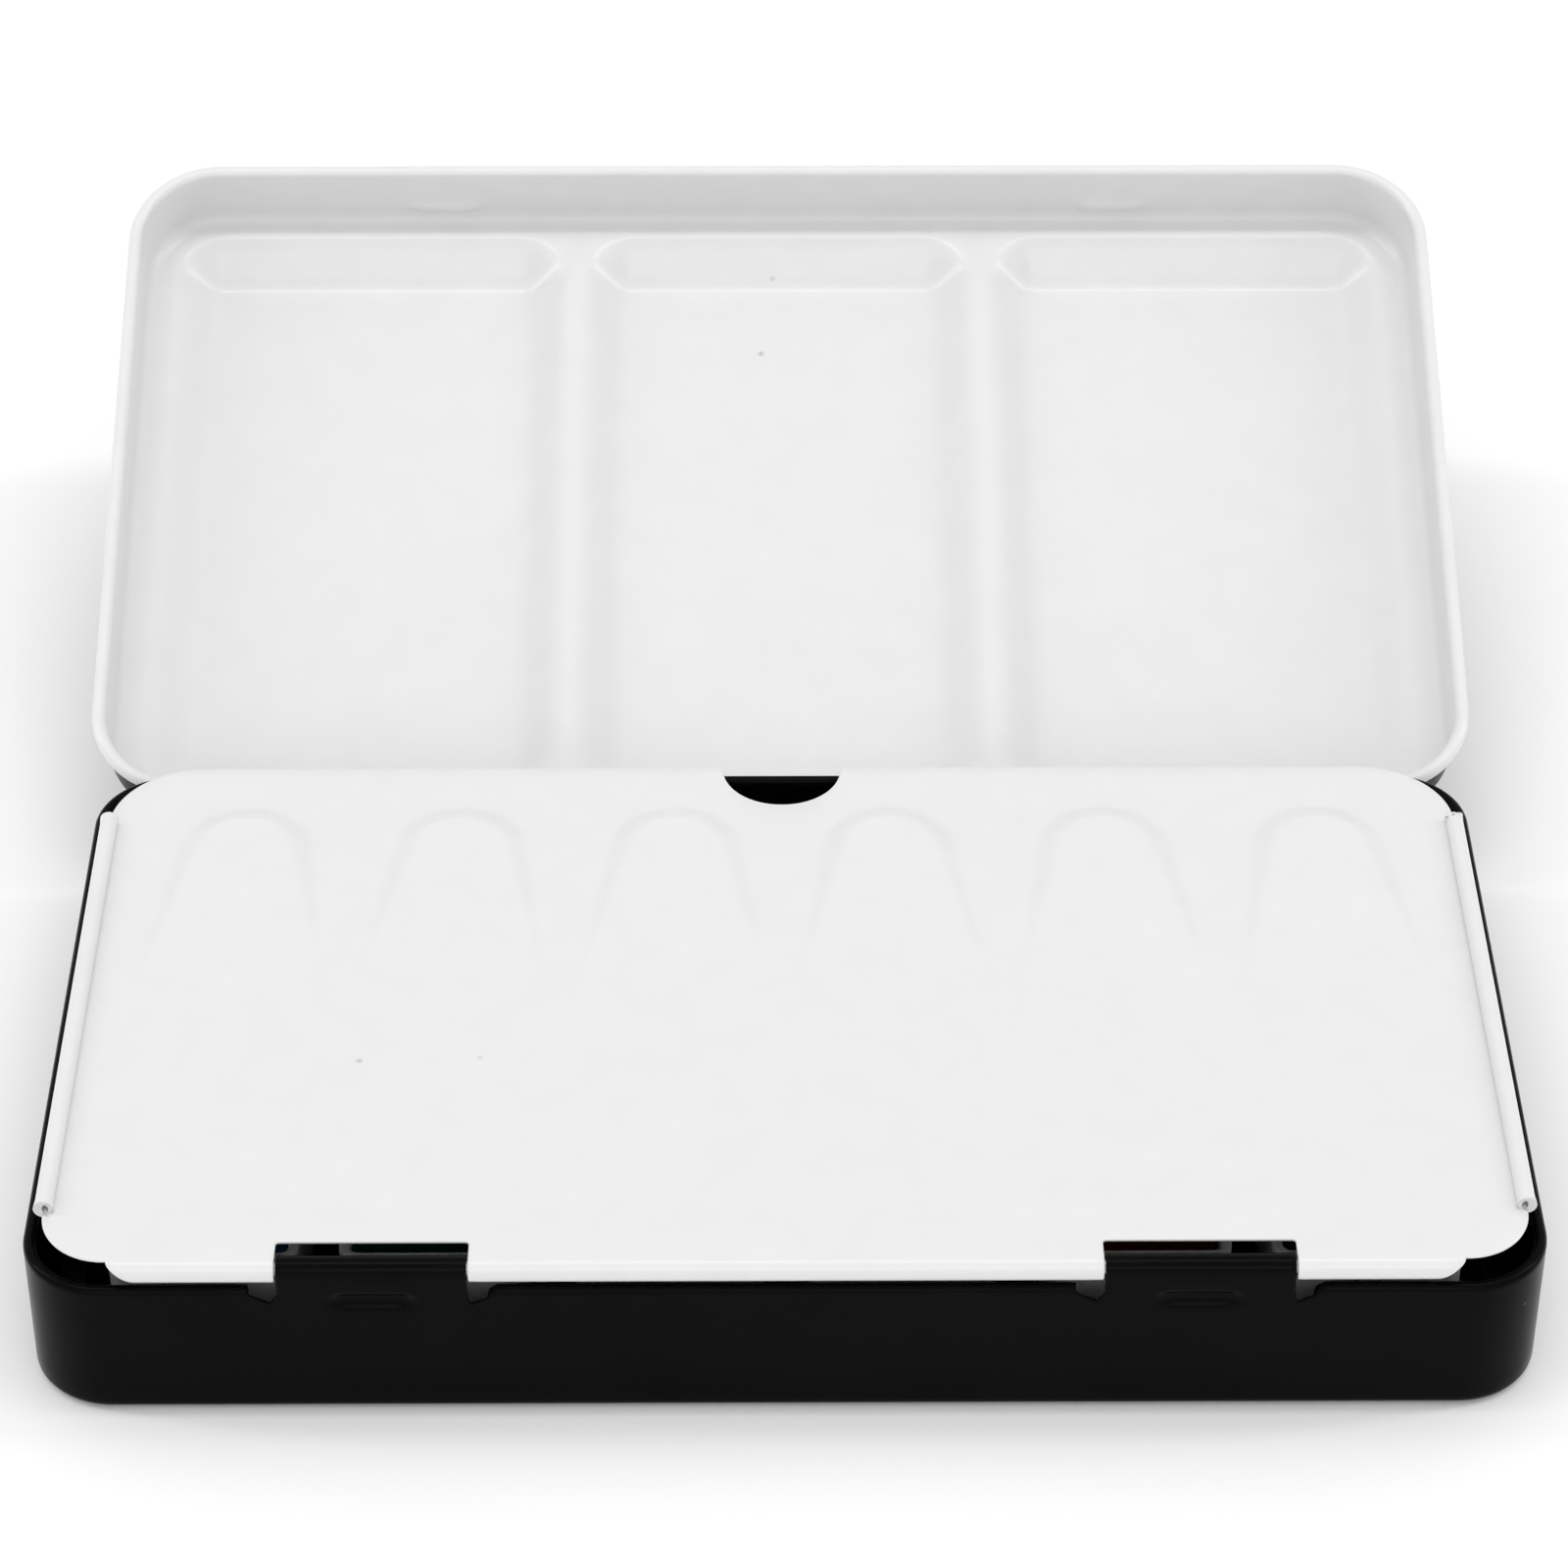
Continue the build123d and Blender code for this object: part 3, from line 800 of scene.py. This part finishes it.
# ---------------------------------------------------------------- the mixing flap
def well_outline():
    """One well seen from above, its middle line at x = 0: a straight front and a round rear."""
    top = well_rear_y + well_rear_radius
    angle = well_side_angle()
    shoulder = well_front_half - (top - well_front_y) * tan(angle)
    rear = 0.995 * well_rear_radius
    corners = [(side * well_front_half, well_front_y, well_front_corner) for side in (-1, 1)]
    corners += [(shoulder, top, rear), (-shoulder, top, rear)]
    return rounded(corners, 0.7 * MM)


def well_side_angle():
    """How much a well's straight sides lean in towards the rear."""
    rise = well_rear_y - well_front_y
    reach = sqrt(rise * rise + well_front_half ** 2)
    return asin(well_front_half / reach) - asin(well_rear_radius / reach)


def well_rise(x, y):
    """How far one well stands up at a place: a floor that climbs to the rear inside sloping sides."""
    angle = well_side_angle()
    dx, dy = abs(x), y - well_rear_y
    if atan2(dy, dx) > angle:
        edge = well_rear_radius - sqrt(dx * dx + dy * dy)
    else:
        edge = well_rear_radius - dx * cos(angle) - dy * sin(angle)
    side = edge / well_slope_run * well_depth
    floor = (y - well_front_y) / (well_rear_y + well_rear_radius - well_front_y) * well_depth
    return soft_max(-soft_max(-side, -floor, 0.3 * MM), 0, 0.25 * MM)


def flap_height(point):
    """The flap's surface while it is folded in: its wells stand up, and lie open once it is folded out."""
    x, y = point
    middle = (min(max(round(x / well_pitch - 0.5), -well_count // 2), well_count // 2 - 1) + 0.5) * well_pitch
    return flap_top + well_rise(x - middle, y)


def flap_corners(half_x):
    """The flap seen from above: two windows for the tabs, rolled sides, a finger notch at the rear."""
    front = flap_axis.y
    back = front + window_depth
    rear = flap_rear
    notch_top = rear - notch_radius
    notch_round = 0.985 * notch_radius
    corners = [(-half_x, front, flap_front_corner), (-barrel_end, front, 0)]
    for side in (-1, 1):
        left, right = side * tab_x - window_half, side * tab_x + window_half
        corners += [(left, front, 0), (left, back, 0.4 * MM), (right, back, 0.4 * MM), (right, front, 0)]
    corners += [(barrel_end, front, 0), (half_x, front, flap_front_corner)]
    corners += [(half_x, curl_front, 0), (half_x, curl_rear, 0), (half_x, rear, flap_rear_corner)]
    corners += [(notch_radius, rear, notch_lip), (notch_radius, notch_top, notch_round)]
    corners += [(-notch_radius, notch_top, notch_round), (-notch_radius, rear, notch_lip)]
    return corners + [(-half_x, rear, flap_rear_corner), (-half_x, curl_rear, 0), (-half_x, curl_front, 0)]


def make_flap(materials):
    """One sheet: its front rolled round the hinge wire, its sides rolled up, six wells pressed in it."""
    sheet = Sheet()
    front = flap_axis.y
    half_x = flap_half - flap_curl + side_curl_inset
    loop = rounded(flap_corners(half_x), 0.8 * MM)
    edge = sheet.row([Vector((p.x, p.y, flap_top)) for p in loop])
    outline = well_outline()
    normals = outward(outline)
    contours = []
    long = well_rear_y + well_rear_radius - well_front_y
    for n in range(well_count):
        middle = Vector(((n - (well_count - 1) / 2) * well_pitch, 0))
        for inset in (-0.35, -0.1, 0.15, 0.45, 0.8):
            contours.append([p - q * inset * MM + middle for p, q in zip(outline, normals)])
        for step in (-0.3, -0.1, 0.1, 0.3, 0.7):
            ring = []
            for p, q in zip(outline, normals):
                deep = well_slope_run * (p.y - well_front_y) / long + step * MM
                if deep > 0.15 * MM:
                    ring.append(p - q * deep + middle)
            contours.append(ring)

    def clear(point):
        x, y = point
        for n in range(well_count):
            x0 = x - (n - (well_count - 1) / 2) * well_pitch
            if abs(x0) < well_pitch / 2 and -1.2 * MM < y - well_front_y < long + 1.2 * MM:
                return abs(x0) < 4.5 * MM and well_front_y + 3 * MM < y < well_rear_y
        return True

    def on_front(place):
        return place.y < front + 1e-6 and abs(place.x) < barrel_end + 1e-6

    sheet.floor(edge, contours, 1.7 * MM, flap_height, clear)
    for stretch in runs(edge, on_front):
        down = [Vector((0, 0, -1))] * len(stretch)
        curl(sheet, stretch, Vector((0, -1, 0)), down, knuckle_radius, barrel_turn, 20, barrel_taper)
    for side in (-1, 1):
        def on_side(place):
            return abs(place.x - side * half_x) < 1e-6 and curl_front - 1e-6 < place.y < curl_rear + 1e-6

        for stretch in runs(edge, on_side):
            up = [Vector((0, 0, 1))] * len(stretch)
            curl(sheet, stretch, Vector((side, 0, 0)), up, side_curl, side_curl_turn, 14)
    return sheet.finish("mixing_flap_sheet", Matrix.Identity(4), flap_sheet, materials)


def barrel_taper(x, angle):
    """The outer ends of the barrel run in towards its underside."""
    near = max(0, abs(x) - (barrel_end - barrel_taper_run)) / barrel_taper_run
    lean = -barrel_taper_depth * near * (1 - cos(min(angle, pi))) / 2
    return lean if x > 0 else -lean


# ---------------------------------------------------------------- half pans and paint
def solid_rings(rings, cap_first, cap_last):
    """A closed surface from rings of equal count, with a fan at each end."""
    mesh = bmesh.new()
    rows = [[mesh.verts.new(point) for point in ring] for ring in rings]
    for lower, upper in zip(rows, rows[1:]):
        for n in range(len(lower)):
            after = (n + 1) % len(lower)
            mesh.faces.new((lower[n], lower[after], upper[after], upper[n]))
    for row, middle, flip in ((rows[0], cap_first, True), (rows[-1], cap_last, False)):
        hub = mesh.verts.new(middle)
        for n in range(len(row)):
            pair = (row[n], row[(n + 1) % len(row)])
            mesh.faces.new((hub, pair[1], pair[0]) if flip else (hub, pair[0], pair[1]))
    for face in mesh.faces:
        face.smooth = True
    return mesh


def make_half_pan(number, middle, low, high, materials):
    """A moulded cup with a round foot and rim. Its profiles are pairs of inset and height in mm."""
    x, y = middle
    half_x, half_y = pan_length_x / 2, pan_length_y / 2
    loop = round_rectangle(half_x, half_y, pan_corner, 0.8 * MM, middle)
    normals = [loop_outward(p, middle, half_x, half_y, pan_corner) for p in loop]
    top = (high - low) / MM
    foot = [(0.9, 0.25), (0.55, 0.02), (0.33, 0.0), (0.12, 0.12), (0.02, 0.4)]
    side = [(0.14, z) for z in (1.2, 4.0, top - 1.7, top - 1.35)]
    rim = [(0.0, top - 1.2), (0.0, top - 0.28), (0.08, top - 0.08), (0.26, top), (0.62, top)]
    inner = [(0.82, top - 0.1), (0.9, top - 0.32), (0.92, top - 2.2), (1.0, 1.3), (1.25, 0.98), (1.8, 0.92)]
    rings = [lift(loop, normals, -inset * MM, low + z * MM) for inset, z in foot + side + rim + inner]
    mesh = solid_rings(rings, (x, y, low + 0.25 * MM), (x, y, low + 0.92 * MM))
    data = bpy.data.meshes.new(f"half_pan_cup_{number}")
    mesh.to_mesh(data)
    mesh.free()
    return new_piece(f"half_pan_cup_{number}", data, materials)


def loop_outward(point, middle, half_x, half_y, radius):
    """The outward direction of a round-cornered rectangle that has its middle elsewhere."""
    return loop_normal(Vector((point.x - middle[0], point.y - middle[1], 0)), half_x, half_y, radius)


def everywhere(point):
    """No place is kept free of the plain lattice."""
    return True


def make_cake(number, middle, low, high, materials):
    """Paint poured into a pan: it climbs the sides, sinks in the middle and is a little uneven."""
    x, y = middle
    half_x, half_y = cake_length_x / 2, cake_length_y / 2
    loop = round_rectangle(half_x - cake_edge, half_y - cake_edge, cake_corner, 0.5 * MM, middle)
    normals = [loop_outward(p, middle, half_x - cake_edge, half_y - cake_edge, cake_corner) for p in loop]

    def surface(point):
        depth = rectangle_depth(point, half_x - cake_edge, half_y - cake_edge, cake_corner, middle)
        sink = 0.62 * MM * (1 - exp(-depth / (1.5 * MM)))
        swell = turbulence((point[0] * 170, point[1] * 170, number * 7.3))
        wave = turbulence((point[0] * 420, point[1] * 420, number * 3.1))
        fine = turbulence((point[0] * 1300, point[1] * 1300, number * 1.7))
        return high - 0.2 * MM - sink + (0.15 * swell + 0.09 * wave + 0.03 * fine) * MM

    sheet = Sheet()
    edge = sheet.row([Vector((p.x, p.y, surface(p))) for p in loop])
    sheet.floor(edge, [], 0.45 * MM, surface, everywhere)
    before = edge
    for out, drop in ((0.6, 0.06), (0.9, 0.2), (1.0, 0.5)):
        points = lift(loop, normals, out * cake_edge, -drop * MM)
        for point, vert in zip(points, edge):
            point.z += vert.co.z
        before = sheet.extend(before, points)
    for inset, z in ((0, 0.5), (0.5, 0.0)):
        before = sheet.extend(before, lift(loop, normals, cake_edge - inset * MM, low + z * MM))
    hub = sheet.mesh.verts.new((x, y, low))
    for n in range(len(before)):
        sheet.mesh.faces.new((hub, before[(n + 1) % len(before)], before[n]))
    for face in sheet.mesh.faces:
        face.smooth = True
    name = f"paint_block_{number:02d}"
    data = bpy.data.meshes.new(name)
    sheet.mesh.to_mesh(data)
    sheet.mesh.free()
    return new_piece(name, data, materials)


# ---------------------------------------------------------------- the pan holder
def pan_places():
    """The middle of every pan, seen from above."""
    places = []
    for number in range(1, pan_count + 1):
        low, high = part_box(f"half_pan_{number:02d}")
        places.append(((low.x + high.x) / 2, (low.y + high.y) / 2))
    return places


def tongue_feet():
    """Where each spring tongue leaves the deck, and which way it faces."""
    reach = pan_length_y / 2 + tongue_gap + holder_sheet
    return [(x, y + side * reach, side) for x, y in pan_places() for side in (-1, 1)]


def make_holder_deck(materials):
    """The holder's deck, with windows where the tongues are bent out and a folded-down edge."""
    sheet = Sheet()
    loop = round_rectangle(holder_high.x, holder_high.y, holder_corner, 1.0 * MM)
    normals = outward(loop)
    edge = sheet.row(lift(loop, normals, -holder_bend, deck_z))
    windows = []
    for x, y, side in tongue_feet():
        middle = (x, y - side * tongue_window / 2)
        half_x = tongue_width / 2 + tongue_side_room
        windows.append(round_rectangle(half_x, tongue_window / 2, 0.5 * MM, 0.9 * MM, middle))

    def level(point):
        return deck_z

    def clear(point):
        return not near_window(point, windows)

    sheet.floor(edge, [], 3.0 * MM, level, clear, windows)
    before = quarter_bend(sheet, edge, loop, normals, holder_bend, deck_z, -1, 4)
    for z in (1.4 * MM, holder_low.z + 0.06 * MM):
        before = sheet.extend(before, lift(loop, normals, 0, z))
    return sheet.finish("pan_holder_deck", Matrix.Identity(4), holder_sheet, materials)


def near_window(point, windows):
    """Is a point in or close to one of the windows?"""
    for window in windows:
        xs, ys = [p.x for p in window], [p.y for p in window]
        if min(xs) - MM < point[0] < max(xs) + MM and min(ys) - MM < point[1] < max(ys) + MM:
            return True
    return False


class Recipe:
    """A Geometry Nodes tree that puts one shape at every point it is given."""

    def __init__(self, name, sizes):
        self.tree = bpy.data.node_groups.new(name, "GeometryNodeTree")
        self.add = self.tree.nodes.new
        self.link = self.tree.links.new
        socket = self.tree.interface.new_socket
        socket("Geometry", in_out="INPUT", socket_type="NodeSocketGeometry")
        for label, value in sizes.items():
            socket(label, in_out="INPUT", socket_type="NodeSocketFloat").default_value = value
        socket("Finish", in_out="INPUT", socket_type="NodeSocketMaterial")
        socket("Geometry", in_out="OUTPUT", socket_type="NodeSocketGeometry")
        self.given = self.add("NodeGroupInput").outputs

    def vector(self, **parts):
        """A vector from its linked parts; a part left out is 0."""
        made = self.add("ShaderNodeCombineXYZ")
        for name, value in parts.items():
            self.link(value, made.inputs[name])
        return made.outputs["Vector"]

    def calculate(self, operation, first, second=None):
        """One sum; second is a number or another value."""
        made = self.add("ShaderNodeMath")
        made.operation = operation
        self.link(first, made.inputs[0])
        if isinstance(second, float):
            made.inputs[1].default_value = second
        elif second:
            self.link(second, made.inputs[1])
        return made.outputs["Value"]

    def close(self, shape, turned=False):
        """One shape at every point, made real and given its finish; turned reads the point's own turn."""
        copies = self.add("GeometryNodeInstanceOnPoints")
        self.link(self.given["Geometry"], copies.inputs["Points"])
        self.link(shape, copies.inputs["Instance"])
        if turned:
            turn = self.add("GeometryNodeInputNamedAttribute")
            turn.data_type = "FLOAT"
            turn.inputs["Name"].default_value = "turn"
            self.link(self.vector(Z=turn.outputs["Attribute"]), copies.inputs["Rotation"])
        real = self.add("GeometryNodeRealizeInstances")
        self.link(copies.outputs["Instances"], real.inputs["Geometry"])
        finish = self.add("GeometryNodeSetMaterial")
        self.link(real.outputs["Geometry"], finish.inputs["Geometry"])
        self.link(self.given["Finish"], finish.inputs["Material"])
        self.link(finish.outputs["Geometry"], self.add("NodeGroupOutput").inputs["Geometry"])
        return self.tree


def tongue_tree():
    """Spring tongues: a bent strip with round edges at every point."""
    sizes = {"Width": tongue_width, "Sheet": holder_sheet, "Height": tongue_height}
    sizes.update({"Reach": 0.5 * MM, "Flare": 0.25 * MM})
    recipe = Recipe("spring tongues", sizes)
    add, link, given, calculate = recipe.add, recipe.link, recipe.given, recipe.calculate
    path = add("GeometryNodeCurvePrimitiveBezierSegment")
    path.inputs["Resolution"].default_value = 14
    foot = recipe.vector(Y=calculate("MULTIPLY", given["Reach"], -1.0))
    knee_y = calculate("MULTIPLY", given["Reach"], -0.9)
    knee_z = calculate("MULTIPLY", given["Height"], 0.35)
    tip_y = calculate("MULTIPLY", given["Flare"], 0.6)
    link(recipe.vector(), path.inputs["Start"])
    link(foot, path.inputs["Start Handle"])
    link(recipe.vector(Y=knee_y, Z=knee_z), path.inputs["End Handle"])
    link(recipe.vector(Y=tip_y, Z=given["Height"]), path.inputs["End"])
    section = add("GeometryNodeCurvePrimitiveQuadrilateral")
    link(given["Width"], section.inputs["Width"])
    link(given["Sheet"], section.inputs["Height"])
    round_off = add("GeometryNodeFilletCurve")
    round_off.mode = "POLY"
    round_off.inputs["Count"].default_value = 3
    link(calculate("MULTIPLY", given["Sheet"], 0.35), round_off.inputs["Radius"])
    link(section.outputs["Curve"], round_off.inputs["Curve"])
    strip = add("GeometryNodeCurveToMesh")
    strip.inputs["Fill Caps"].default_value = True
    link(path.outputs["Curve"], strip.inputs["Curve"])
    link(round_off.outputs["Curve"], strip.inputs["Profile Curve"])
    return recipe.close(strip.outputs["Mesh"], True)


def rivet_tree():
    """Rivets: a shank with a low domed head on each end."""
    recipe = Recipe("domed rivets", {"Head radius": 1.08 * MM, "Head height": 0.34 * MM, "Grip": 0.7 * MM})
    add, link, given, calculate = recipe.add, recipe.link, recipe.given, recipe.calculate
    ball = add("GeometryNodeMeshUVSphere")
    ball.inputs["Segments"].default_value = 40
    ball.inputs["Rings"].default_value = 24
    ball.inputs["Radius"].default_value = 1.0
    dome = add("GeometryNodeTransform")
    link(ball.outputs["Mesh"], dome.inputs["Geometry"])
    size = recipe.vector(X=given["Head radius"], Y=given["Head radius"], Z=given["Head height"])
    link(size, dome.inputs["Scale"])
    parts = add("ShaderNodeSeparateXYZ")
    link(add("GeometryNodeInputPosition").outputs["Position"], parts.inputs["Vector"])
    half_grip = calculate("MULTIPLY", given["Grip"], 0.5)
    push = calculate("MULTIPLY", calculate("SIGN", parts.outputs["Z"]), half_grip)
    stretch = add("GeometryNodeSetPosition")
    link(dome.outputs["Geometry"], stretch.inputs["Geometry"])
    link(recipe.vector(Z=push), stretch.inputs["Offset"])
    return recipe.close(stretch.outputs["Geometry"])


def from_points(name, tree, places, turns, finish, smooth):
    """Runs a tree on a set of points and keeps the result as a plain mesh."""
    data = bpy.data.meshes.new(name)
    data.from_pydata(places, [], [])
    attribute = data.attributes.new("turn", "FLOAT", "POINT")
    attribute.data.foreach_set("value", turns)
    piece = new_piece(name, data, [])
    run = piece.modifiers.new("repeat", "NODES")
    run.node_group = tree
    names = {item.name: item.identifier for item in tree.interface.items_tree if item.in_out == "INPUT"}
    run[names["Finish"]] = finish
    piece = settle(piece)
    for face in piece.data.polygons:
        face.use_smooth = smooth
    return piece


# ---------------------------------------------------------------- floor, light and camera
def paper_floor():
    """A wide sheet of pale paper under the tin."""
    made, tree, shader = material("pale paper floor")
    pattern = noise(tree, 9, 3, 0.6)
    tint(tree, pattern, (0.965, 0.965, 0.965), (0.98, 0.98, 0.98), shader.inputs["Base Color"])
    spread(tree, noise(tree, 900, 3, 0.6), 0.7, 0.85, shader.inputs["Roughness"])
    mesh = bmesh.new()
    bmesh.ops.create_grid(mesh, x_segments=24, y_segments=24, size=3.0)
    data = bpy.data.meshes.new("floor")
    mesh.to_mesh(data)
    mesh.free()
    return new_piece("floor", data, [made])


def soft_light(name, place, aim, size, power):
    """A rectangular lamp that shines from place towards aim."""
    data = bpy.data.lights.new(name, "AREA")
    data.shape = "RECTANGLE"
    data.size, data.size_y = size
    data.energy = power
    lamp = bpy.data.objects.new(name, data)
    bpy.context.scene.collection.objects.link(lamp)
    lamp.location = place
    lamp.rotation_euler = (Vector(aim) - Vector(place)).to_track_quat("-Z", "Y").to_euler()


def white_studio(strength):
    """Even white light from all round."""
    world = bpy.data.worlds.new("studio")
    world.use_nodes = True
    background = world.node_tree.nodes["Background"]
    background.inputs["Color"].default_value = (1, 1, 1, 1)
    background.inputs["Strength"].default_value = strength
    bpy.context.scene.world = world
    bpy.context.scene.view_settings.view_transform = "Standard"


def make_camera(lens, target, distance, pitch, yaw, roll):
    """A camera at a distance from its target, looking down by pitch."""
    data = bpy.data.cameras.new("camera")
    data.sensor_width = 36
    data.lens = lens
    data.clip_start = 0.02
    data.clip_end = 20
    camera = bpy.data.objects.new("camera", data)
    bpy.context.scene.collection.objects.link(camera)
    forward = Vector((sin(yaw) * cos(pitch), cos(yaw) * cos(pitch), -sin(pitch)))
    level = Vector((cos(yaw), -sin(yaw), 0))
    raised = level.cross(forward)
    right = cos(roll) * level + sin(roll) * raised
    up = cos(roll) * raised - sin(roll) * level
    turn = Matrix((right, up, -forward)).transposed().to_4x4()
    camera.matrix_world = Matrix.Translation(target - distance * forward) @ turn
    bpy.context.scene.camera = camera


# ---------------------------------------------------------------- the object, put together
paint_colours = {
    "paint_lemon_yellow": (0.72, 0.56, 0.015),
    "paint_warm_yellow": (0.62, 0.27, 0.006),
    "paint_vermilion": (0.42, 0.032, 0.008),
    "paint_crimson": (0.15, 0.004, 0.012),
    "paint_violet": (0.030, 0.006, 0.055),
    "paint_ultramarine": (0.005, 0.012, 0.15),
    "paint_cerulean": (0.006, 0.085, 0.23),
    "paint_viridian": (0.002, 0.055, 0.038),
    "paint_sap_green": (0.032, 0.062, 0.004),
    "paint_yellow_ochre": (0.30, 0.13, 0.018),
    "paint_burnt_sienna": (0.105, 0.018, 0.004),
    "paint_lamp_black": (0.004, 0.004, 0.005),
}
white = white_enamel()
black = black_enamel()
steel = bright_metal("drawn steel wire", (0.62, 0.62, 0.61), 0.29, 0.44, (0.06, 1, 1), 2600)
nickel = bright_metal("plated steel sheet", (0.70, 0.69, 0.67), 0.18, 0.265, (0.1, 1, 1), 1500)
plastic = white_plastic()

lid = make_lid([white, black])
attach(lid, "lid")
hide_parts("lid")
tin = make_tin([black])
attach(tin, "tin")
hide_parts("base_tray")
flap = make_flap([white])
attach(flap, "flap")
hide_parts("mixing_flap", "flap_barrel")

slots = {part["node"]: part["material_slot"] for part in frame["record"]["subparts"]}
for number in range(1, pan_count + 1):
    tag = f"{number:02d}"
    low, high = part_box(f"half_pan_{tag}")
    middle = ((low.x + high.x) / 2, (low.y + high.y) / 2)
    cup = make_half_pan(tag, middle, low.z, high.z, [plastic])
    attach(cup, f"pan_{tag}")
    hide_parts(f"half_pan_{tag}")
    low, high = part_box(f"paint_cake_{tag}")
    slot = slots[f"paint_cake_{tag}"]
    paint = watercolour(slot.replace("_", " "), paint_colours[slot])
    cake = make_cake(number, middle, low.z + 0.1 * MM, high.z, [paint])
    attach(cake, f"pan_{tag}")
    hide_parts(f"paint_cake_{tag}")

deck = make_holder_deck([black])
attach(deck, "tin")
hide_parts("pan_holder")
feet = tongue_feet()
tongue_places = [(x, y, deck_z - holder_sheet / 2) for x, y, side in feet]
tongue_turns = [0 if side > 0 else pi for x, y, side in feet]
tongues = from_points("spring_tongues", tongue_tree(), tongue_places, tongue_turns, black, False)
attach(tongues, "tin")
rivet_low, rivet_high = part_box("strap_rivets")
rivet_middles = [(0, y, (rivet_low.z + rivet_high.z) / 2) for y in rivet_places]
rivets = from_points("strap_rivet_heads", rivet_tree(), rivet_middles, [0, 0], nickel, True)
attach(rivets, "tin")
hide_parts("strap_rivets")

finishes = {
    "flap_hinge_wire": steel,
    "base_hinge_leaves": black,
    "lid_hinge_leaves": black,
    "lid_hinge_pins": steel,
    "flap_rests": black,
    "thumb_ring": nickel,
    "ring_strap": nickel,
}
for name, finish in finishes.items():
    part = frame["nodes"][name]
    for place in part.material_slots:
        place.material = finish
    if not part.material_slots:
        part.data.materials.append(finish)

floor = paper_floor()
soft_light("overhead strip", (0, 0.0, 0.9), (0, 0.03, 0), (0.9, 0.05), 1.6)
soft_light("left strip", (-0.7, 0.1, 0.5), (0, 0.02, 0), (0.08, 0.5), 0.9)
soft_light("right strip", (0.7, 0.1, 0.5), (0, 0.02, 0), (0.08, 0.5), 0.9)
soft_light("front fill", (0, -0.85, 0.5), (0, 0.05, 0), (0.8, 0.3), 1.2)
white_studio(0.80)
camera_target = Vector((0.356, 50.6, 0)) * MM
make_camera(110.25, camera_target, 467.2 * MM, radians(37.61), radians(0.414), radians(0.118))
